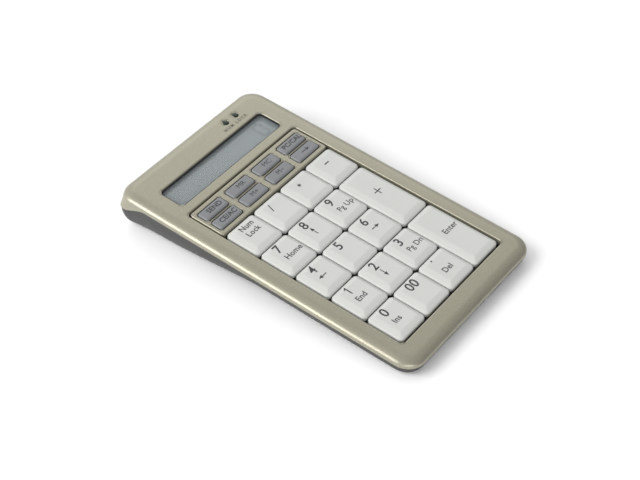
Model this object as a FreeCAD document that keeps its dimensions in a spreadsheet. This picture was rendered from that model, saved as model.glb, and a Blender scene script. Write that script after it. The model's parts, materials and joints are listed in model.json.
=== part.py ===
import FreeCAD, Part
import math
import os
import re

import Sketcher
from FreeCAD import Placement, Rotation, Vector

# A numeric keypad with a display, built as separate pieces.
#
# Every piece is drawn in the case's own frame: the origin is at the middle of the front edge, +X to
# the right, +Y towards the display, and +Z out of the cover, whose flat top is z = 0.  The case
# leans forward on its feet, so its frame is tilted about X in the part's frame, where z = 0 is
# the surface that the feet stand on and the origin is below the middle of the case.

DIMENSIONS = {
    # the case as a whole
    "case_width": (96, "width of the top cover"),
    "case_length": (161.8, "length of the top cover"),
    "case_corner": (9, "corner radius of the case in plan"),
    "case_tilt": (4.6, "degrees that the display end is raised"),
    "front_drop": (8.2, "from the cover's top down to the table at the front edge"),
    # top cover
    "cover_wall": (1.6, "wall thickness of both shells"),
    "cover_top": (1.5, "thickness of the cover's flat top"),
    "cover_roll": (3.6, "radius of the rolled top edge"),
    "parting": (3.4, "depth of the cover's side walls along the keys"),
    "rear_parting": (8.3, "depth of the cover's walls round the display end"),
    "parting_start": (146, "where the cover's side wall starts to deepen"),
    "parting_end": (156.5, "where it has reached its full depth"),
    "parting_bend": (10, "radius of the side wall's two bends there"),
    "field_width": (77.8, "width of the opening for the keys"),
    "field_length": (116.6, "length of the opening for the keys"),
    "field_front": (11.6, "front edge of that opening"),
    "field_corner": (2, "corner radius of that opening"),
    "rim_depth": (3.2, "depth of the rim round that opening"),
    "rim_wall": (1, "thickness of that rim"),
    "window_width": (70, "width of the display window"),
    "window_length": (13.4, "length of the display window"),
    "window_middle": (139.9, "middle of the display window"),
    "window_corner": (2.4, "corner radius of the display window"),
    "boss_radius": (2.2, "radius of the top cover's screw bosses"),
    # bottom cover
    "slab_depth": (7.5, "from the cover's top to the bottom of the thin part"),
    "shell_gap": (0.4, "how far the bottom cover stands inside the top cover's outline"),
    "tray_floor": (1.4, "thickness of the thin part's floor, and of the flange at the display end"),
    "tray_edge": (1.2, "radius of the thin part's lower edge"),
    "belly_inset": (3.6, "from the cover's side to the belly's side"),
    "belly_rear": (159.6, "rear wall of the belly"),
    "belly_corner": (8, "corner radius of the belly in plan"),
    "belly_start": (84.5, "where the belly leaves the thin part"),
    "belly_full": (127.5, "where the belly has reached its full depth"),
    "belly_bend": (24, "radius of the bend there"),
    "belly_edge": (2, "radius of the belly's lower edges"),
    "belly_lift": (0.8, "height of the belly above the table"),
    "post_radius": (3, "radius of the bottom cover's screw posts"),
    # keys
    "key_pitch": (19, "from one key to the next"),
    "key_gap": (1.1, "gap between two keycaps"),
    "key_front": (12.5, "front edge of the key grid"),
    "key_corner": (2.4, "corner radius of a keycap"),
    "key_rise": (0.5, "height of the keycaps above the cover"),
    "key_skirt": (2.6, "depth of the keycap's skirt below the cover's top"),
    "key_wall": (1.2, "wall thickness of a keycap"),
    "key_soften": (0.8, "radius of the keycap's top edge"),
    "key_travel": (2, "travel of a key"),
    # layers under the keys, as depths below the cover's top
    "sheet_top": (4.8, "top of the dome sheet"),
    "membrane_top": (5, "top of the membrane circuit"),
    "plate_top": (5.2, "top of the key plate and of the circuit board"),
    "plate_bottom": (5.8, "bottom of the key plate"),
    "board_bottom": (6.8, "bottom of the circuit board"),
    "board_width": (75, "width of the circuit board"),
    "board_front": (108.1, "front edge of the circuit board"),
    "board_rear": (157.2, "rear edge of the circuit board"),
    # function panel and its buttons
    "panel_width": (76.2, "width of the function panel"),
    "panel_length": (19.6, "length of the function panel"),
    "panel_middle": (117.7, "middle of the function panel"),
    "panel_drop": (0.1, "top of the function panel below the cover's top"),
    "panel_corner": (1.6, "corner radius of the function panel"),
    "panel_bevel": (0.7, "width of the bevel round its top"),
    "button_width": (15.2, "width of a function button"),
    "button_length": (6.1, "length of a function button"),
    "button_corner": (1.1, "corner radius of a function button"),
    "button_gap": (0.5, "gap round a function button"),
    "button_rise": (0.5, "height of the buttons above the cover's top"),
    "button_depth": (2.2, "depth of a button below the cover's top"),
    "button_pitch": (18.9, "from one button to the next across"),
    "button_row_pitch": (7.9, "from one row of buttons to the next"),
    "button_travel": (0.8, "travel of a function button"),
    # socket
    "socket_width": (7.7, "outer width of the socket's metal shell"),
    "socket_height": (4, "outer height of the socket's metal shell"),
    "socket_depth": (14.2, "middle of the socket below the cover's top"),
    "socket_length": (9.2, "length of the socket's metal shell"),
    "socket_mouth": (159.2, "where the socket's mouth is, just inside the rear wall"),
    # fasteners and feet
    "screw_radius": (0.8, "radius of a screw's shank"),
    "screw_length": (4.2, "length of a screw's shank"),
    "head_radius": (1.9, "radius of a screw's head"),
    "head_height": (1.2, "height of a screw's head"),
    "foot_radius": (4.5, "radius of a rubber foot"),
}

# Name, column and row of the key grid (counted from the left and from the front), columns and rows
# that the key spans.
KEYS = [
    ("0", 0, 0, 1, 1), ("00", 1, 0, 1, 1), ("decimal", 2, 0, 1, 1),
    ("1", 0, 1, 1, 1), ("2", 1, 1, 1, 1), ("3", 2, 1, 1, 1), ("enter", 3, 0, 1, 2),
    ("4", 0, 2, 1, 1), ("5", 1, 2, 1, 1), ("6", 2, 2, 1, 1),
    ("7", 0, 3, 1, 1), ("8", 1, 3, 1, 1), ("9", 2, 3, 1, 1), ("plus", 3, 2, 1, 2),
    ("num_lock", 0, 4, 1, 1), ("divide", 1, 4, 1, 1), ("multiply", 2, 4, 1, 1),
    ("minus", 3, 4, 1, 1),
]

# Name, column and row of each function button; row 0 is the row beside the keys.
BUTTONS = [
    ("clear", 0, 0), ("memory_add", 1, 0), ("memory_subtract", 2, 0), ("arrow", 3, 0),
    ("send", 0, 1), ("memory_recall", 1, 1), ("memory_clear", 2, 1), ("mode", 3, 1),
]

# Where the six case screws stand: beside the front keys, beside the middle keys, and beside the
# display.
FRONT_SCREWS = [(-40.5, 7.3), (40.5, 7.3), (-42.3, 62.5), (42.3, 62.5)]
REAR_SCREWS = [(-40.3, 139.5), (40.3, 139.5)]
FRONT_SEAT = 6.2    # depth of the screw seats in the thin part
REAR_SEAT = 10.5    # depth of the screw seats in the belly
FRONT_BOSS = 4.7    # depth of the cover's bosses in the thin part
REAR_BOSS = 9       # depth of the cover's bosses in the belly

INDICATORS = [(19.9, 154.1), (27, 154.1)]    # where the two indicator lights stand
LENS_RADIUS = 1.5

doc = FreeCAD.newDocument("NumericKeypad")
sheet = doc.addObject("Spreadsheet::Sheet", "Sizes")
for row, (alias, (number, note)) in enumerate(DIMENSIONS.items(), 1):
    sheet.set(f"A{row}", alias)
    sheet.set(f"B{row}", str(number))
    sheet.setAlias(f"B{row}", alias)
    sheet.set(f"C{row}", note)
doc.recompute()

node_objects = {}


# ---------------------------------------------------------------- helpers

def linked(formula):
    """A formula in the sheet's aliases, written the way that another object's expression needs."""
    def link(word):
        return f"Sizes.{word[0]}" if word[0] in DIMENSIONS else word[0]
    return re.sub("[a-z_]+", link, str(formula))


def number(formula):
    """The value of a formula in the sheet's aliases."""
    value = sheet.evalExpression(linked(formula).replace("Sizes.", ""))
    return float(value)


def bind(thing, prop, formula):
    """Tie a property to a formula in the sheet's aliases."""
    thing.setExpression(prop, linked(formula))


def on_case(x=0, y=0, z=0):
    """The placement that carries a piece drawn at (x, y, z) of the case's frame to the part's frame."""
    lean = Rotation(Vector(1, 0, 0), number("case_tilt"))
    rear = number("case_length * cos(case_tilt * 1deg)")
    overhang = number("(rear_parting + cover_roll) * sin(case_tilt * 1deg)")
    lift = number("front_drop * cos(case_tilt * 1deg)")
    origin = Vector(0, -(rear + overhang) / 2, lift)
    return Placement(origin + lean.multVec(Vector(x, y, z)), lean)


def keep(thing, label, placement=None):
    """Name a finished sub-part and put it in its place."""
    thing.Label = label
    thing.Placement = placement or on_case()
    node_objects[label] = thing
    return thing


def stand(thing, place):
    """Put a primitive at a place: three formulas, or a finished Placement."""
    if isinstance(place, Placement):
        thing.Placement = place
        return
    for axis, formula in zip("xyz", place):
        bind(thing, f"Placement.Base.{axis}", formula)


def block(name, size, place):
    """A Part::Box; its three sizes are formulas and its place is that of its lowest corner."""
    box = doc.addObject("Part::Box", name)
    for prop, formula in zip(("Length", "Width", "Height"), size):
        bind(box, prop, formula)
    stand(box, place)
    return box


def disc(name, radius, height, place):
    """A Part::Cylinder along the Z axis of its place."""
    cylinder = doc.addObject("Part::Cylinder", name)
    bind(cylinder, "Radius", radius)
    bind(cylinder, "Height", height)
    stand(cylinder, place)
    return cylinder


def bar(name, radius, length, start, direction):
    """A Part::Cylinder from start along a direction."""
    turn = Rotation(Vector(0, 0, 1), Vector(*direction))
    return disc(name, radius, length, Placement(Vector(*start), turn))


def cut(name, base, tool):
    """One solid with another taken away."""
    result = doc.addObject("Part::Cut", name)
    result.Base = base
    result.Tool = tool
    return result


def fuse(name, parts):
    """Several touching solids made into one."""
    result = doc.addObject("Part::MultiFuse", name)
    result.Shapes = parts
    return result


def group(name, parts):
    """Several separate solids kept in one sub-part."""
    result = doc.addObject("Part::Compound", name)
    result.Links = parts
    return result


def new_body(name):
    """An empty PartDesign body."""
    return doc.addObject("PartDesign::Body", name)


def new_sketch(body, role, offset=(0, 0, 0)):
    """A sketch on one of the body's own origin planes, moved by formulas in the plane's frame."""
    sketch = body.newObject("Sketcher::SketchObject", f"{body.Name}_sketch")
    plane = [item for item in body.Origin.OriginFeatures if item.Role == role][0]
    sketch.AttachmentSupport = [(plane, "")]
    sketch.MapMode = "FlatFace"
    for axis, formula in zip("xyz", offset):
        bind(sketch, f"AttachmentOffset.Base.{axis}", formula)
    return sketch


def named(sketch, name, formula, *constraint):
    """Add a dimension to a sketch and tie it to a formula."""
    index = sketch.addConstraint(Sketcher.Constraint(*constraint, number(formula)))
    sketch.renameConstraint(index, name)
    bind(sketch, f"Constraints.{name}", formula)


def rounded_rectangle(sketch, width, depth, radius):
    """Four lines and four tangent arcs, symmetric about the sketch's origin."""
    half_x = number(width) / 2
    half_y = number(depth) / 2
    r = number(radius)
    first = sketch.GeometryCount
    corners = [(half_x, -half_y), (half_x, half_y), (-half_x, half_y), (-half_x, -half_y)]
    quarter = Vector(half_x - r, half_y - r, 0)
    for side, (x, y) in enumerate(corners):
        start = Rotation(Vector(0, 0, 1), 90 * side)
        flat = half_y if side % 2 == 0 else half_x
        run = (half_x if side % 2 == 0 else half_y) - r
        ends = [start.multVec(Vector(reach, -flat, 0)) for reach in (-run, run)]
        sketch.addGeometry(Part.LineSegment(*ends), False)
        centre = Vector(quarter.x if x > 0 else -quarter.x, quarter.y if y > 0 else -quarter.y, 0)
        turns = [(side - 1) * math.pi / 2, side * math.pi / 2]
        sketch.addGeometry(Part.ArcOfCircle(Part.Circle(centre, Vector(0, 0, 1), r), *turns), False)
    for step in range(8):
        here = first + step
        after = first + (step + 1) % 8
        sketch.addConstraint(Sketcher.Constraint("Tangent", here, 2, after, 1))
    for line, direction in ((0, "Horizontal"), (2, "Vertical"), (4, "Horizontal"), (6, "Vertical")):
        sketch.addConstraint(Sketcher.Constraint(direction, first + line))
    for arc in (3, 5, 7):
        sketch.addConstraint(Sketcher.Constraint("Equal", first + 1, first + arc))
    sketch.addConstraint(Sketcher.Constraint("Symmetric", first, 1, first + 4, 1, -1, 1))
    named(sketch, f"radius{first}", radius, "Radius", first + 1)
    named(sketch, f"width{first}", width, "DistanceX", first + 6, 1, first + 2, 1)
    named(sketch, f"depth{first}", depth, "DistanceY", first, 1, first + 4, 1)


def polygon(sketch, points):
    """A closed outline of straight lines through points whose coordinates are formulas."""
    places = [Vector(number(x), number(y), 0) for x, y in points]
    count = len(places)
    for index, place in enumerate(places):
        sketch.addGeometry(Part.LineSegment(place, places[(index + 1) % count]), False)
    for index in range(count):
        sketch.addConstraint(Sketcher.Constraint("Coincident", index, 2, (index + 1) % count, 1))
    for index, (x, y) in enumerate(points):
        named(sketch, f"x{index}", x, "DistanceX", -1, 1, index, 1)
        named(sketch, f"y{index}", y, "DistanceY", -1, 1, index, 1)


def circle(sketch, radius, x, y):
    """A circle whose centre is given by formulas."""
    centre = Vector(number(x), number(y), 0)
    index = sketch.addGeometry(Part.Circle(centre, Vector(0, 0, 1), number(radius)), False)
    named(sketch, f"radius{index}", radius, "Radius", index)
    named(sketch, f"x{index}", x, "DistanceX", -1, 1, index, 3)
    named(sketch, f"y{index}", y, "DistanceY", -1, 1, index, 3)


def extrude(body, sketch, kind, length, upwards=True, both_ways=False):
    """A Pad or a Pocket; upwards is along the sketch's normal for either."""
    feature = body.newObject(f"PartDesign::{kind}", f"{body.Name}_{kind.lower()}")
    feature.Profile = sketch
    bind(feature, "Length", length)
    if both_ways:
        feature.SideType = "Symmetric"
    else:
        feature.Reversed = upwards if kind == "Pocket" else not upwards
    before = 0 if feature.BaseFeature is None else feature.BaseFeature.Shape.Volume
    doc.recompute()
    grown = feature.Shape.Volume - before
    if (grown > 0) != (kind == "Pad"):
        raise RuntimeError(f"{feature.Name} changed nothing")
    return feature


def soften(body, radius, wanted, kind="Fillet"):
    """A Fillet or Chamfer of the edges of the body's last feature that pass the test."""
    base = body.Tip
    edges = [f"Edge{index}" for index, edge in enumerate(base.Shape.Edges, 1) if wanted(edge.BoundBox)]
    feature = body.newObject(f"PartDesign::{kind}", f"{body.Name}_{kind.lower()}")
    feature.Base = (base, edges)
    bind(feature, "Radius" if kind == "Fillet" else "Size", radius)
    doc.recompute()
    if not feature.isValid():
        raise RuntimeError(f"{feature.Name} failed on {len(edges)} edges")
    return feature


def level(height, tolerance=0.01):
    """A test for edges that lie flat at a height."""
    def wanted(bounds):
        return abs(bounds.ZMin - height) < tolerance and abs(bounds.ZMax - height) < tolerance
    return wanted


def table_depth(y):
    """The depth of the table below the cover's top, as a formula of the distance from the front."""
    return f"(front_drop + ({y}) * tan(case_tilt * 1deg))"


# ---------------------------------------------------------------- shells

def make_top_cover():
    """The upper shell: rolled edge, key opening with its rim, display window, screw bosses."""
    body = new_body("TopCover")
    outline = new_sketch(body, "XY_Plane", (0, "case_length / 2", 0))
    rounded_rectangle(outline, "case_width", "case_length", "case_corner")
    extrude(body, outline, "Pad", "rear_parting", upwards=False)
    soften(body, "cover_roll", level(0))
    step = new_sketch(body, "YZ_Plane")
    polygon(step, [("-5", "-parting"), ("parting_start", "-parting"), ("parting_end", "-rear_parting"),
                   ("parting_end", "-rear_parting - 5"), ("-5", "-rear_parting - 5")])
    extrude(body, step, "Pocket", "case_width + 10", both_ways=True)

    def bend(bounds):
        ends = (number("parting_start"), number("parting_end"))
        return bounds.YLength < 0.1 and bounds.XLength > 10 and min(abs(bounds.YMax - y) for y in ends) < 0.1

    soften(body, "parting_bend", bend)
    inside = new_sketch(body, "XY_Plane", (0, "case_length / 2", "-rear_parting - 1"))
    rounded_rectangle(inside, "case_width - 2 * cover_wall", "case_length - 2 * cover_wall",
                      "case_corner - cover_wall")
    extrude(body, inside, "Pocket", "rear_parting + 1 - cover_top")

    rim = new_sketch(body, "XY_Plane", (0, "field_front + field_length / 2", "-rim_depth"))
    rounded_rectangle(rim, "field_width + 2 * rim_wall", "field_length + 2 * rim_wall",
                      "field_corner + rim_wall")
    extrude(body, rim, "Pad", "rim_depth - cover_top / 2")
    bosses = new_sketch(body, "XY_Plane", (0, 0, -FRONT_BOSS))
    for x, y in FRONT_SCREWS:
        circle(bosses, "boss_radius", x, y)
    extrude(body, bosses, "Pad", f"{FRONT_BOSS} - cover_top / 2")
    rear_bosses = new_sketch(body, "XY_Plane", (0, 0, -REAR_BOSS))
    for x, y in REAR_SCREWS:
        circle(rear_bosses, "boss_radius", x, y)
    extrude(body, rear_bosses, "Pad", f"{REAR_BOSS} - cover_top / 2")

    field = new_sketch(body, "XY_Plane", (0, "field_front + field_length / 2", "-rim_depth - 1"))
    rounded_rectangle(field, "field_width", "field_length", "field_corner")
    extrude(body, field, "Pocket", "rim_depth + 2")
    window = new_sketch(body, "XY_Plane", (0, "window_middle", -5))
    rounded_rectangle(window, "window_width", "window_length", "window_corner")
    extrude(body, window, "Pocket", 6)
    holes = new_sketch(body, "XY_Plane", (0, 0, -5))
    for x, y in INDICATORS:
        circle(holes, LENS_RADIUS + 0.1, x, y)
    extrude(body, holes, "Pocket", 6)
    bores = new_sketch(body, "XY_Plane", (0, 0, -REAR_BOSS - 1))
    for x, y in FRONT_SCREWS + REAR_SCREWS:
        circle(bores, "screw_radius + 0.05", x, y)
    extrude(body, bores, "Pocket", f"{REAR_BOSS + 1} - cover_top - 0.3")
    return keep(body, "top_cover")


def belly_floor(y, lift):
    """A height above the table, as a depth in the case's frame at a distance from the front."""
    return f"{lift} - {table_depth(y)}"


def make_belly():
    """The solid that the belly under the display is hollowed from."""
    body = new_body("Belly")
    side = new_sketch(body, "YZ_Plane")
    polygon(side, [("belly_start", "-slab_depth + tray_floor / 2"), ("belly_start", "-slab_depth"),
                   ("belly_full", belly_floor("belly_full", "belly_lift")),
                   ("belly_rear", belly_floor("belly_rear", "belly_lift")),
                   ("belly_rear", "-rear_parting - tray_floor / 2"),
                   ("parting_end - 4", "-rear_parting - tray_floor / 2"),
                   ("parting_start - 4", "-slab_depth + tray_floor / 2")])
    extrude(body, side, "Pad", "case_width - 2 * belly_inset", both_ways=True)
    rear = number("belly_rear")

    def ramp_end(bounds):
        return bounds.XLength > 60 and abs(bounds.YMax - number("belly_full")) < 0.1

    def upright_corner(bounds):
        return bounds.XLength < 0.1 and bounds.ZLength > 5 and abs(bounds.YMax - rear) < 0.1

    def lower_edge(bounds):
        return bounds.YLength > 10 and bounds.ZMin < -number("slab_depth") - 6 and bounds.XLength < 0.1

    soften(body, "belly_bend", ramp_end)
    soften(body, "belly_corner", upright_corner)
    soften(body, "belly_edge", lower_edge)
    return body


def make_bottom_cover():
    """The lower shell: a thin tray under the keys and a deep belly under the display."""
    body = new_body("BottomCover")
    flange = "rear_parting + tray_floor"
    tray = new_sketch(body, "XY_Plane", (0, "case_length / 2", f"-({flange})"))
    rounded_rectangle(tray, "case_width - 2 * shell_gap", "case_length - 2 * shell_gap",
                      "case_corner - shell_gap")
    extrude(body, tray, "Pad", f"{flange} - parting")
    # The part under the keys is thinner than the flange under the top cover's deep skirt.
    below = new_sketch(body, "YZ_Plane")
    polygon(below, [("-5", "-slab_depth"), ("parting_start - 4", "-slab_depth"),
                    ("parting_end - 4", f"-({flange})"), ("parting_end - 4", "-slab_depth - 10"),
                    ("-5", "-slab_depth - 10")])
    extrude(body, below, "Pocket", "case_width + 10", both_ways=True)

    def lower_edge(bounds):
        is_bend = bounds.YLength < 0.1 and number("parting_start - 5") < bounds.YMin < number("parting_end")
        return bounds.ZMax < 0.01 - number("slab_depth") and not is_bend

    soften(body, "tray_edge", lower_edge)
    # The display end is cut away above the flange, because the top cover's skirt is there.
    skirt = new_sketch(body, "YZ_Plane")
    polygon(skirt, [("parting_start - 1.6", "0"), ("parting_start - 1.6", "-parting"),
                    ("parting_end - 1.6", "-rear_parting"), ("case_length + 5", "-rear_parting"),
                    ("case_length + 5", "0")])
    extrude(body, skirt, "Pocket", "case_width + 10", both_ways=True)

    belly = make_belly()
    joined = body.newObject("PartDesign::Boolean", "BottomCover_joined")
    joined.setObjects([belly])
    joined.Type = "Fuse"
    doc.recompute()

    # The belly's cavity is cut twice, shorter and wide and then full length and narrow, so that the
    # wall goes round the belly's rounded corners.
    wall = "cover_wall"
    for shorter, narrower in ((3, 0), (0, 8)):
        rear_wall = f"belly_rear - {wall} - {shorter}"
        cavity = new_sketch(body, "YZ_Plane")
        polygon(cavity, [(f"belly_start + 2 * {wall}", "0"),
                         (f"belly_start + 2 * {wall}", f"-slab_depth + {wall}"),
                         (f"belly_full + {wall}", belly_floor(f"belly_full + {wall}", f"belly_lift + {wall}")),
                         (rear_wall, belly_floor(rear_wall, f"belly_lift + {wall}")),
                         (rear_wall, "0")])
        extrude(body, cavity, "Pocket", f"case_width - 2 * belly_inset - 2 * {wall} - {narrower}",
                both_ways=True)

    shallow = new_sketch(body, "XY_Plane", (0, "parting_start / 2", "-slab_depth + tray_floor"))
    rounded_rectangle(shallow, "case_width - 2 * shell_gap - 2 * cover_wall",
                      "parting_start - 2 * cover_wall - 1", "case_corner - cover_wall")
    extrude(body, shallow, "Pocket", "slab_depth")

    seats = new_sketch(body, "XY_Plane", (0, 0, "-slab_depth + 1"))
    for x, y in FRONT_SCREWS:
        circle(seats, "post_radius", x, y)
    extrude(body, seats, "Pad", f"slab_depth - 1 - {FRONT_BOSS}")
    posts = new_sketch(body, "XY_Plane", (0, 0, -REAR_BOSS))
    for x, y in REAR_SCREWS:
        circle(posts, "post_radius", x, y)
    extrude(body, posts, "Pad", f"{table_depth(REAR_SCREWS[0][1])} - belly_lift - {REAR_BOSS} - 0.6",
            upwards=False)
    for screws, seat in ((FRONT_SCREWS, FRONT_SEAT), (REAR_SCREWS, REAR_SEAT)):
        heads = new_sketch(body, "XY_Plane", (0, 0, -seat))
        for x, y in screws:
            circle(heads, "head_radius + 0.2", x, y)
        extrude(body, heads, "Pocket", 15, upwards=False)
    clearance = new_sketch(body, "XY_Plane", (0, 0, -REAR_SEAT - 1))
    for x, y in FRONT_SCREWS + REAR_SCREWS:
        circle(clearance, "screw_radius + 0.2", x, y)
    extrude(body, clearance, "Pocket", REAR_SEAT)
    hole = new_sketch(body, "XZ_Plane", (0, "-socket_depth", "-belly_rear - 1"))
    rounded_rectangle(hole, "socket_width + 0.4", "socket_height + 0.4", 0.5)
    extrude(body, hole, "Pocket", "cover_wall + 2")
    return keep(body, "bottom_cover")


# ---------------------------------------------------------------- keys

def make_keycap(name, column, row, columns, rows):
    """A hollow keycap with a plunger for the dome and two rails for the scissor lift."""
    body = new_body(f"Keycap_{name}")
    width = f"{columns} * key_pitch - key_gap"
    depth = f"{rows} * key_pitch - key_gap"
    outline = new_sketch(body, "XY_Plane", (0, 0, "-key_skirt"))
    rounded_rectangle(outline, width, depth, "key_corner")
    extrude(body, outline, "Pad", "key_skirt + key_rise")
    soften(body, "key_soften", level(number("key_rise")))
    hollow = new_sketch(body, "XY_Plane", (0, 0, "-key_skirt"))
    rounded_rectangle(hollow, f"{width} - 2 * key_wall", f"{depth} - 2 * key_wall",
                      "key_corner - key_wall")
    extrude(body, hollow, "Pocket", "key_skirt + key_rise - key_wall")
    ceiling = "key_rise - key_wall"
    plunger = new_sketch(body, "XY_Plane", (0, 0, ceiling))
    circle(plunger, 1.5, 0, 0)
    extrude(body, plunger, "Pad", 0.5, upwards=False)
    for side in (-1, 1):
        rail = new_sketch(body, "XY_Plane", (0, f"{side} * 7", ceiling))
        rounded_rectangle(rail, 11, 0.8, 0.3)
        extrude(body, rail, "Pad", 0.6, upwards=False)
    x = number(f"({column} + {columns} / 2 - 2) * key_pitch")
    y = number(f"key_front + ({row} + {rows} / 2) * key_pitch")
    return keep(body, f"key_{name}", on_case(x, y))


def link_frame(name, width, angle):
    """One link of a scissor lift: a rectangular frame that is tilted about X."""
    length = 10.6
    arm = 0.9
    outer = block(f"{name}_outer", (width, length, arm),
                  (f"-{width} / 2", f"-{length} / 2", f"-{arm} / 2"))
    opening = block(f"{name}_opening", (f"{width} - 2 * {arm}", f"{length} - 2 * {arm}", 2),
                    (f"{arm} - {width} / 2", f"{arm} - {length} / 2", -1))
    link = cut(f"{name}_frame", outer, opening)
    middle = number("(key_rise - key_wall - sheet_top) / 2")
    link.Placement = Placement(Vector(0, 0, middle), Rotation(Vector(1, 0, 0), angle))
    return link


def make_scissor(name, column, row, columns, rows):
    """Two crossed links, with a stabiliser wire as well under a tall keycap."""
    stem = f"Scissor_{name}"
    angle = 13
    parts = [link_frame(f"{stem}_wide", 12.6, angle), link_frame(f"{stem}_narrow", 10.4, -angle)]
    if rows > 1:
        depth = -3.4
        reach = 13
        side = 7.1
        wire = 0.35
        long_run = bar(f"{stem}_long", wire, 2 * reach, (side, -reach, depth), (0, 1, 0))
        arms = [bar(f"{stem}_arm{end + 1}", wire, side - 2, (2, end * (reach - 0.6), depth), (1, 0, 0))
                for end in (-1, 1)]
        parts.append(fuse(f"{stem}_wire", [long_run] + arms))
    x = number(f"({column} + {columns} / 2 - 2) * key_pitch")
    y = number(f"key_front + ({row} + {rows} / 2) * key_pitch")
    return keep(group(stem, parts), f"scissor_{name}", on_case(x, y))


def key_centres():
    """The middle of every key in the case's frame."""
    pitch = number("key_pitch")
    front = number("key_front")
    return [((column + columns / 2 - 2) * pitch, front + (row + rows / 2) * pitch)
            for name, column, row, columns, rows in KEYS]


def button_centre(column, row):
    """The middle of a function button in the case's frame."""
    x = number(f"({column} - 1.5) * button_pitch")
    y = number(f"panel_middle + ({row} - 0.5) * button_row_pitch")
    return x, y


def make_key_layers():
    """The plate, the membrane circuit and the dome sheet that lie under all the keys."""
    length = "5 * key_pitch"
    plate = new_body("KeyPlate")
    outline = new_sketch(plate, "XY_Plane", (0, f"key_front + {length} / 2", "-plate_bottom"))
    rounded_rectangle(outline, "4 * key_pitch", length, 1)
    extrude(plate, outline, "Pad", "plate_bottom - plate_top")
    slots = new_sketch(plate, "XY_Plane", (0, 0, "-plate_bottom"))
    for x, y in key_centres():
        circle(slots, 1.5, x + 7.6, y + 7.6)
    extrude(plate, slots, "Pocket", 1)
    keep(plate, "key_plate")

    sheet_block = block("MembraneSheet", ("4 * key_pitch", length, "plate_top - membrane_top"),
                        ("-2 * key_pitch", "key_front", "-plate_top"))
    tail = block("MembraneTail", (24, 2.2, "plate_top - membrane_top"),
                 (-12, f"key_front + {length}", "-plate_top"))
    keep(fuse("Membrane", [sheet_block, tail]), "membrane_circuit")

    base = block("DomeBase", ("4 * key_pitch", length, "membrane_top - sheet_top"),
                 ("-2 * key_pitch", "key_front", "-membrane_top"))
    outsides = []
    insides = []
    for index, (x, y) in enumerate(key_centres()):
        outside = doc.addObject("Part::Cone", f"DomeOutside{index}")
        inside = doc.addObject("Part::Cone", f"DomeInside{index}")
        for cone, low, high, height in ((outside, 3.2, 1.8, 3.5), (inside, 2.7, 1.3, 3)):
            cone.Radius1 = low
            cone.Radius2 = high
            cone.Height = height
            bind(cone, "Placement.Base.x", x)
            bind(cone, "Placement.Base.y", y)
            bind(cone, "Placement.Base.z", "-membrane_top")
        outsides.append(outside)
        insides.append(inside)
    domes = cut("Domes", fuse("DomesOutside", [base] + outsides), group("DomesInside", insides))
    keep(domes, "dome_sheet")


# ---------------------------------------------------------------- function panel

def make_function_panel():
    """The insert behind the keys, with an opening for each function button."""
    body = new_body("FunctionPanel")
    outline = new_sketch(body, "XY_Plane", (0, "panel_middle", "-sheet_top"))
    rounded_rectangle(outline, "panel_width", "panel_length", "panel_corner")
    extrude(body, outline, "Pad", "sheet_top - panel_drop")
    soften(body, "panel_bevel", level(-number("panel_drop")), "Chamfer")
    under = new_sketch(body, "XY_Plane", (0, "panel_middle", "-sheet_top"))
    rounded_rectangle(under, "panel_width - 2", "panel_length - 2", 0.8)
    extrude(body, under, "Pocket", "sheet_top - 1.5")
    for name, column, row in BUTTONS:
        x, y = button_centre(column, row)
        opening = new_sketch(body, "XY_Plane", (x, y, -3))
        rounded_rectangle(opening, "button_width + 2 * button_gap", "button_length + 2 * button_gap",
                          "button_corner + button_gap")
        extrude(body, opening, "Pocket", 4)
    return keep(body, "function_panel")


def make_button(name, column, row):
    """A function button with a rounded top edge."""
    body = new_body(f"Button_{name}")
    outline = new_sketch(body, "XY_Plane", (0, 0, "-button_depth"))
    rounded_rectangle(outline, "button_width", "button_length", "button_corner")
    extrude(body, outline, "Pad", "button_depth + button_rise")
    soften(body, 0.5, level(number("button_rise")))
    x, y = button_centre(column, row)
    return keep(body, f"button_{name}", on_case(x, y))


def make_button_mat():
    """The rubber mat that carries the function buttons, with a dome under each."""
    base = block("MatBase", (72, 16.6, 0.8), (-36, "panel_middle - 8.3 + 0.4", "-plate_top"))
    domes = []
    for name, column, row in BUTTONS:
        x, y = button_centre(column, row)
        domes.append(disc(f"MatDome_{name}", 2.2, "plate_top - button_depth - 0.2",
                          (x, y, "-plate_top")))
    return keep(fuse("Mat", [base] + domes), "button_mat")


# ---------------------------------------------------------------- display and electronics

def make_display():
    """The lens, the liquid crystal panel under it and the two dark indicator lenses."""
    lens = new_body("DisplayLens")
    outline = new_sketch(lens, "XY_Plane", (0, "window_middle", "-cover_top - 1"))
    rounded_rectangle(outline, "window_width + 3", "window_length + 3", 2)
    extrude(lens, outline, "Pad", 1)
    keep(lens, "display_lens")

    back_glass = block("BackGlass", (74, 19, 0.8), (-37, "window_middle - 9.5", -4.2))
    front_glass = block("FrontGlass", (74, 16.6, 0.8), (-37, "window_middle - 8.3", -3.4))
    keep(fuse("Glass", [back_glass, front_glass]), "lcd_panel")

    strips = [block(f"Strip{end}", (68, 1.8, "plate_top - 4.2"),
                    (-34, f"window_middle + {end} * 8.2 - 0.9", "-plate_top")) for end in (-1, 1)]
    keep(group("Strips", strips), "elastomer_strips")

    pipes = []
    for index, (x, y) in enumerate(INDICATORS):
        stem = disc(f"PipeStem{index}", LENS_RADIUS, 2.6, (x, y, -2.3))
        flange = disc(f"PipeFlange{index}", LENS_RADIUS + 0.6, 0.8, (x, y, -2.3))
        pipes.append(fuse(f"Pipe{index}", [stem, flange]))
    keep(group("Pipes", pipes), "indicator_lenses")


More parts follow.
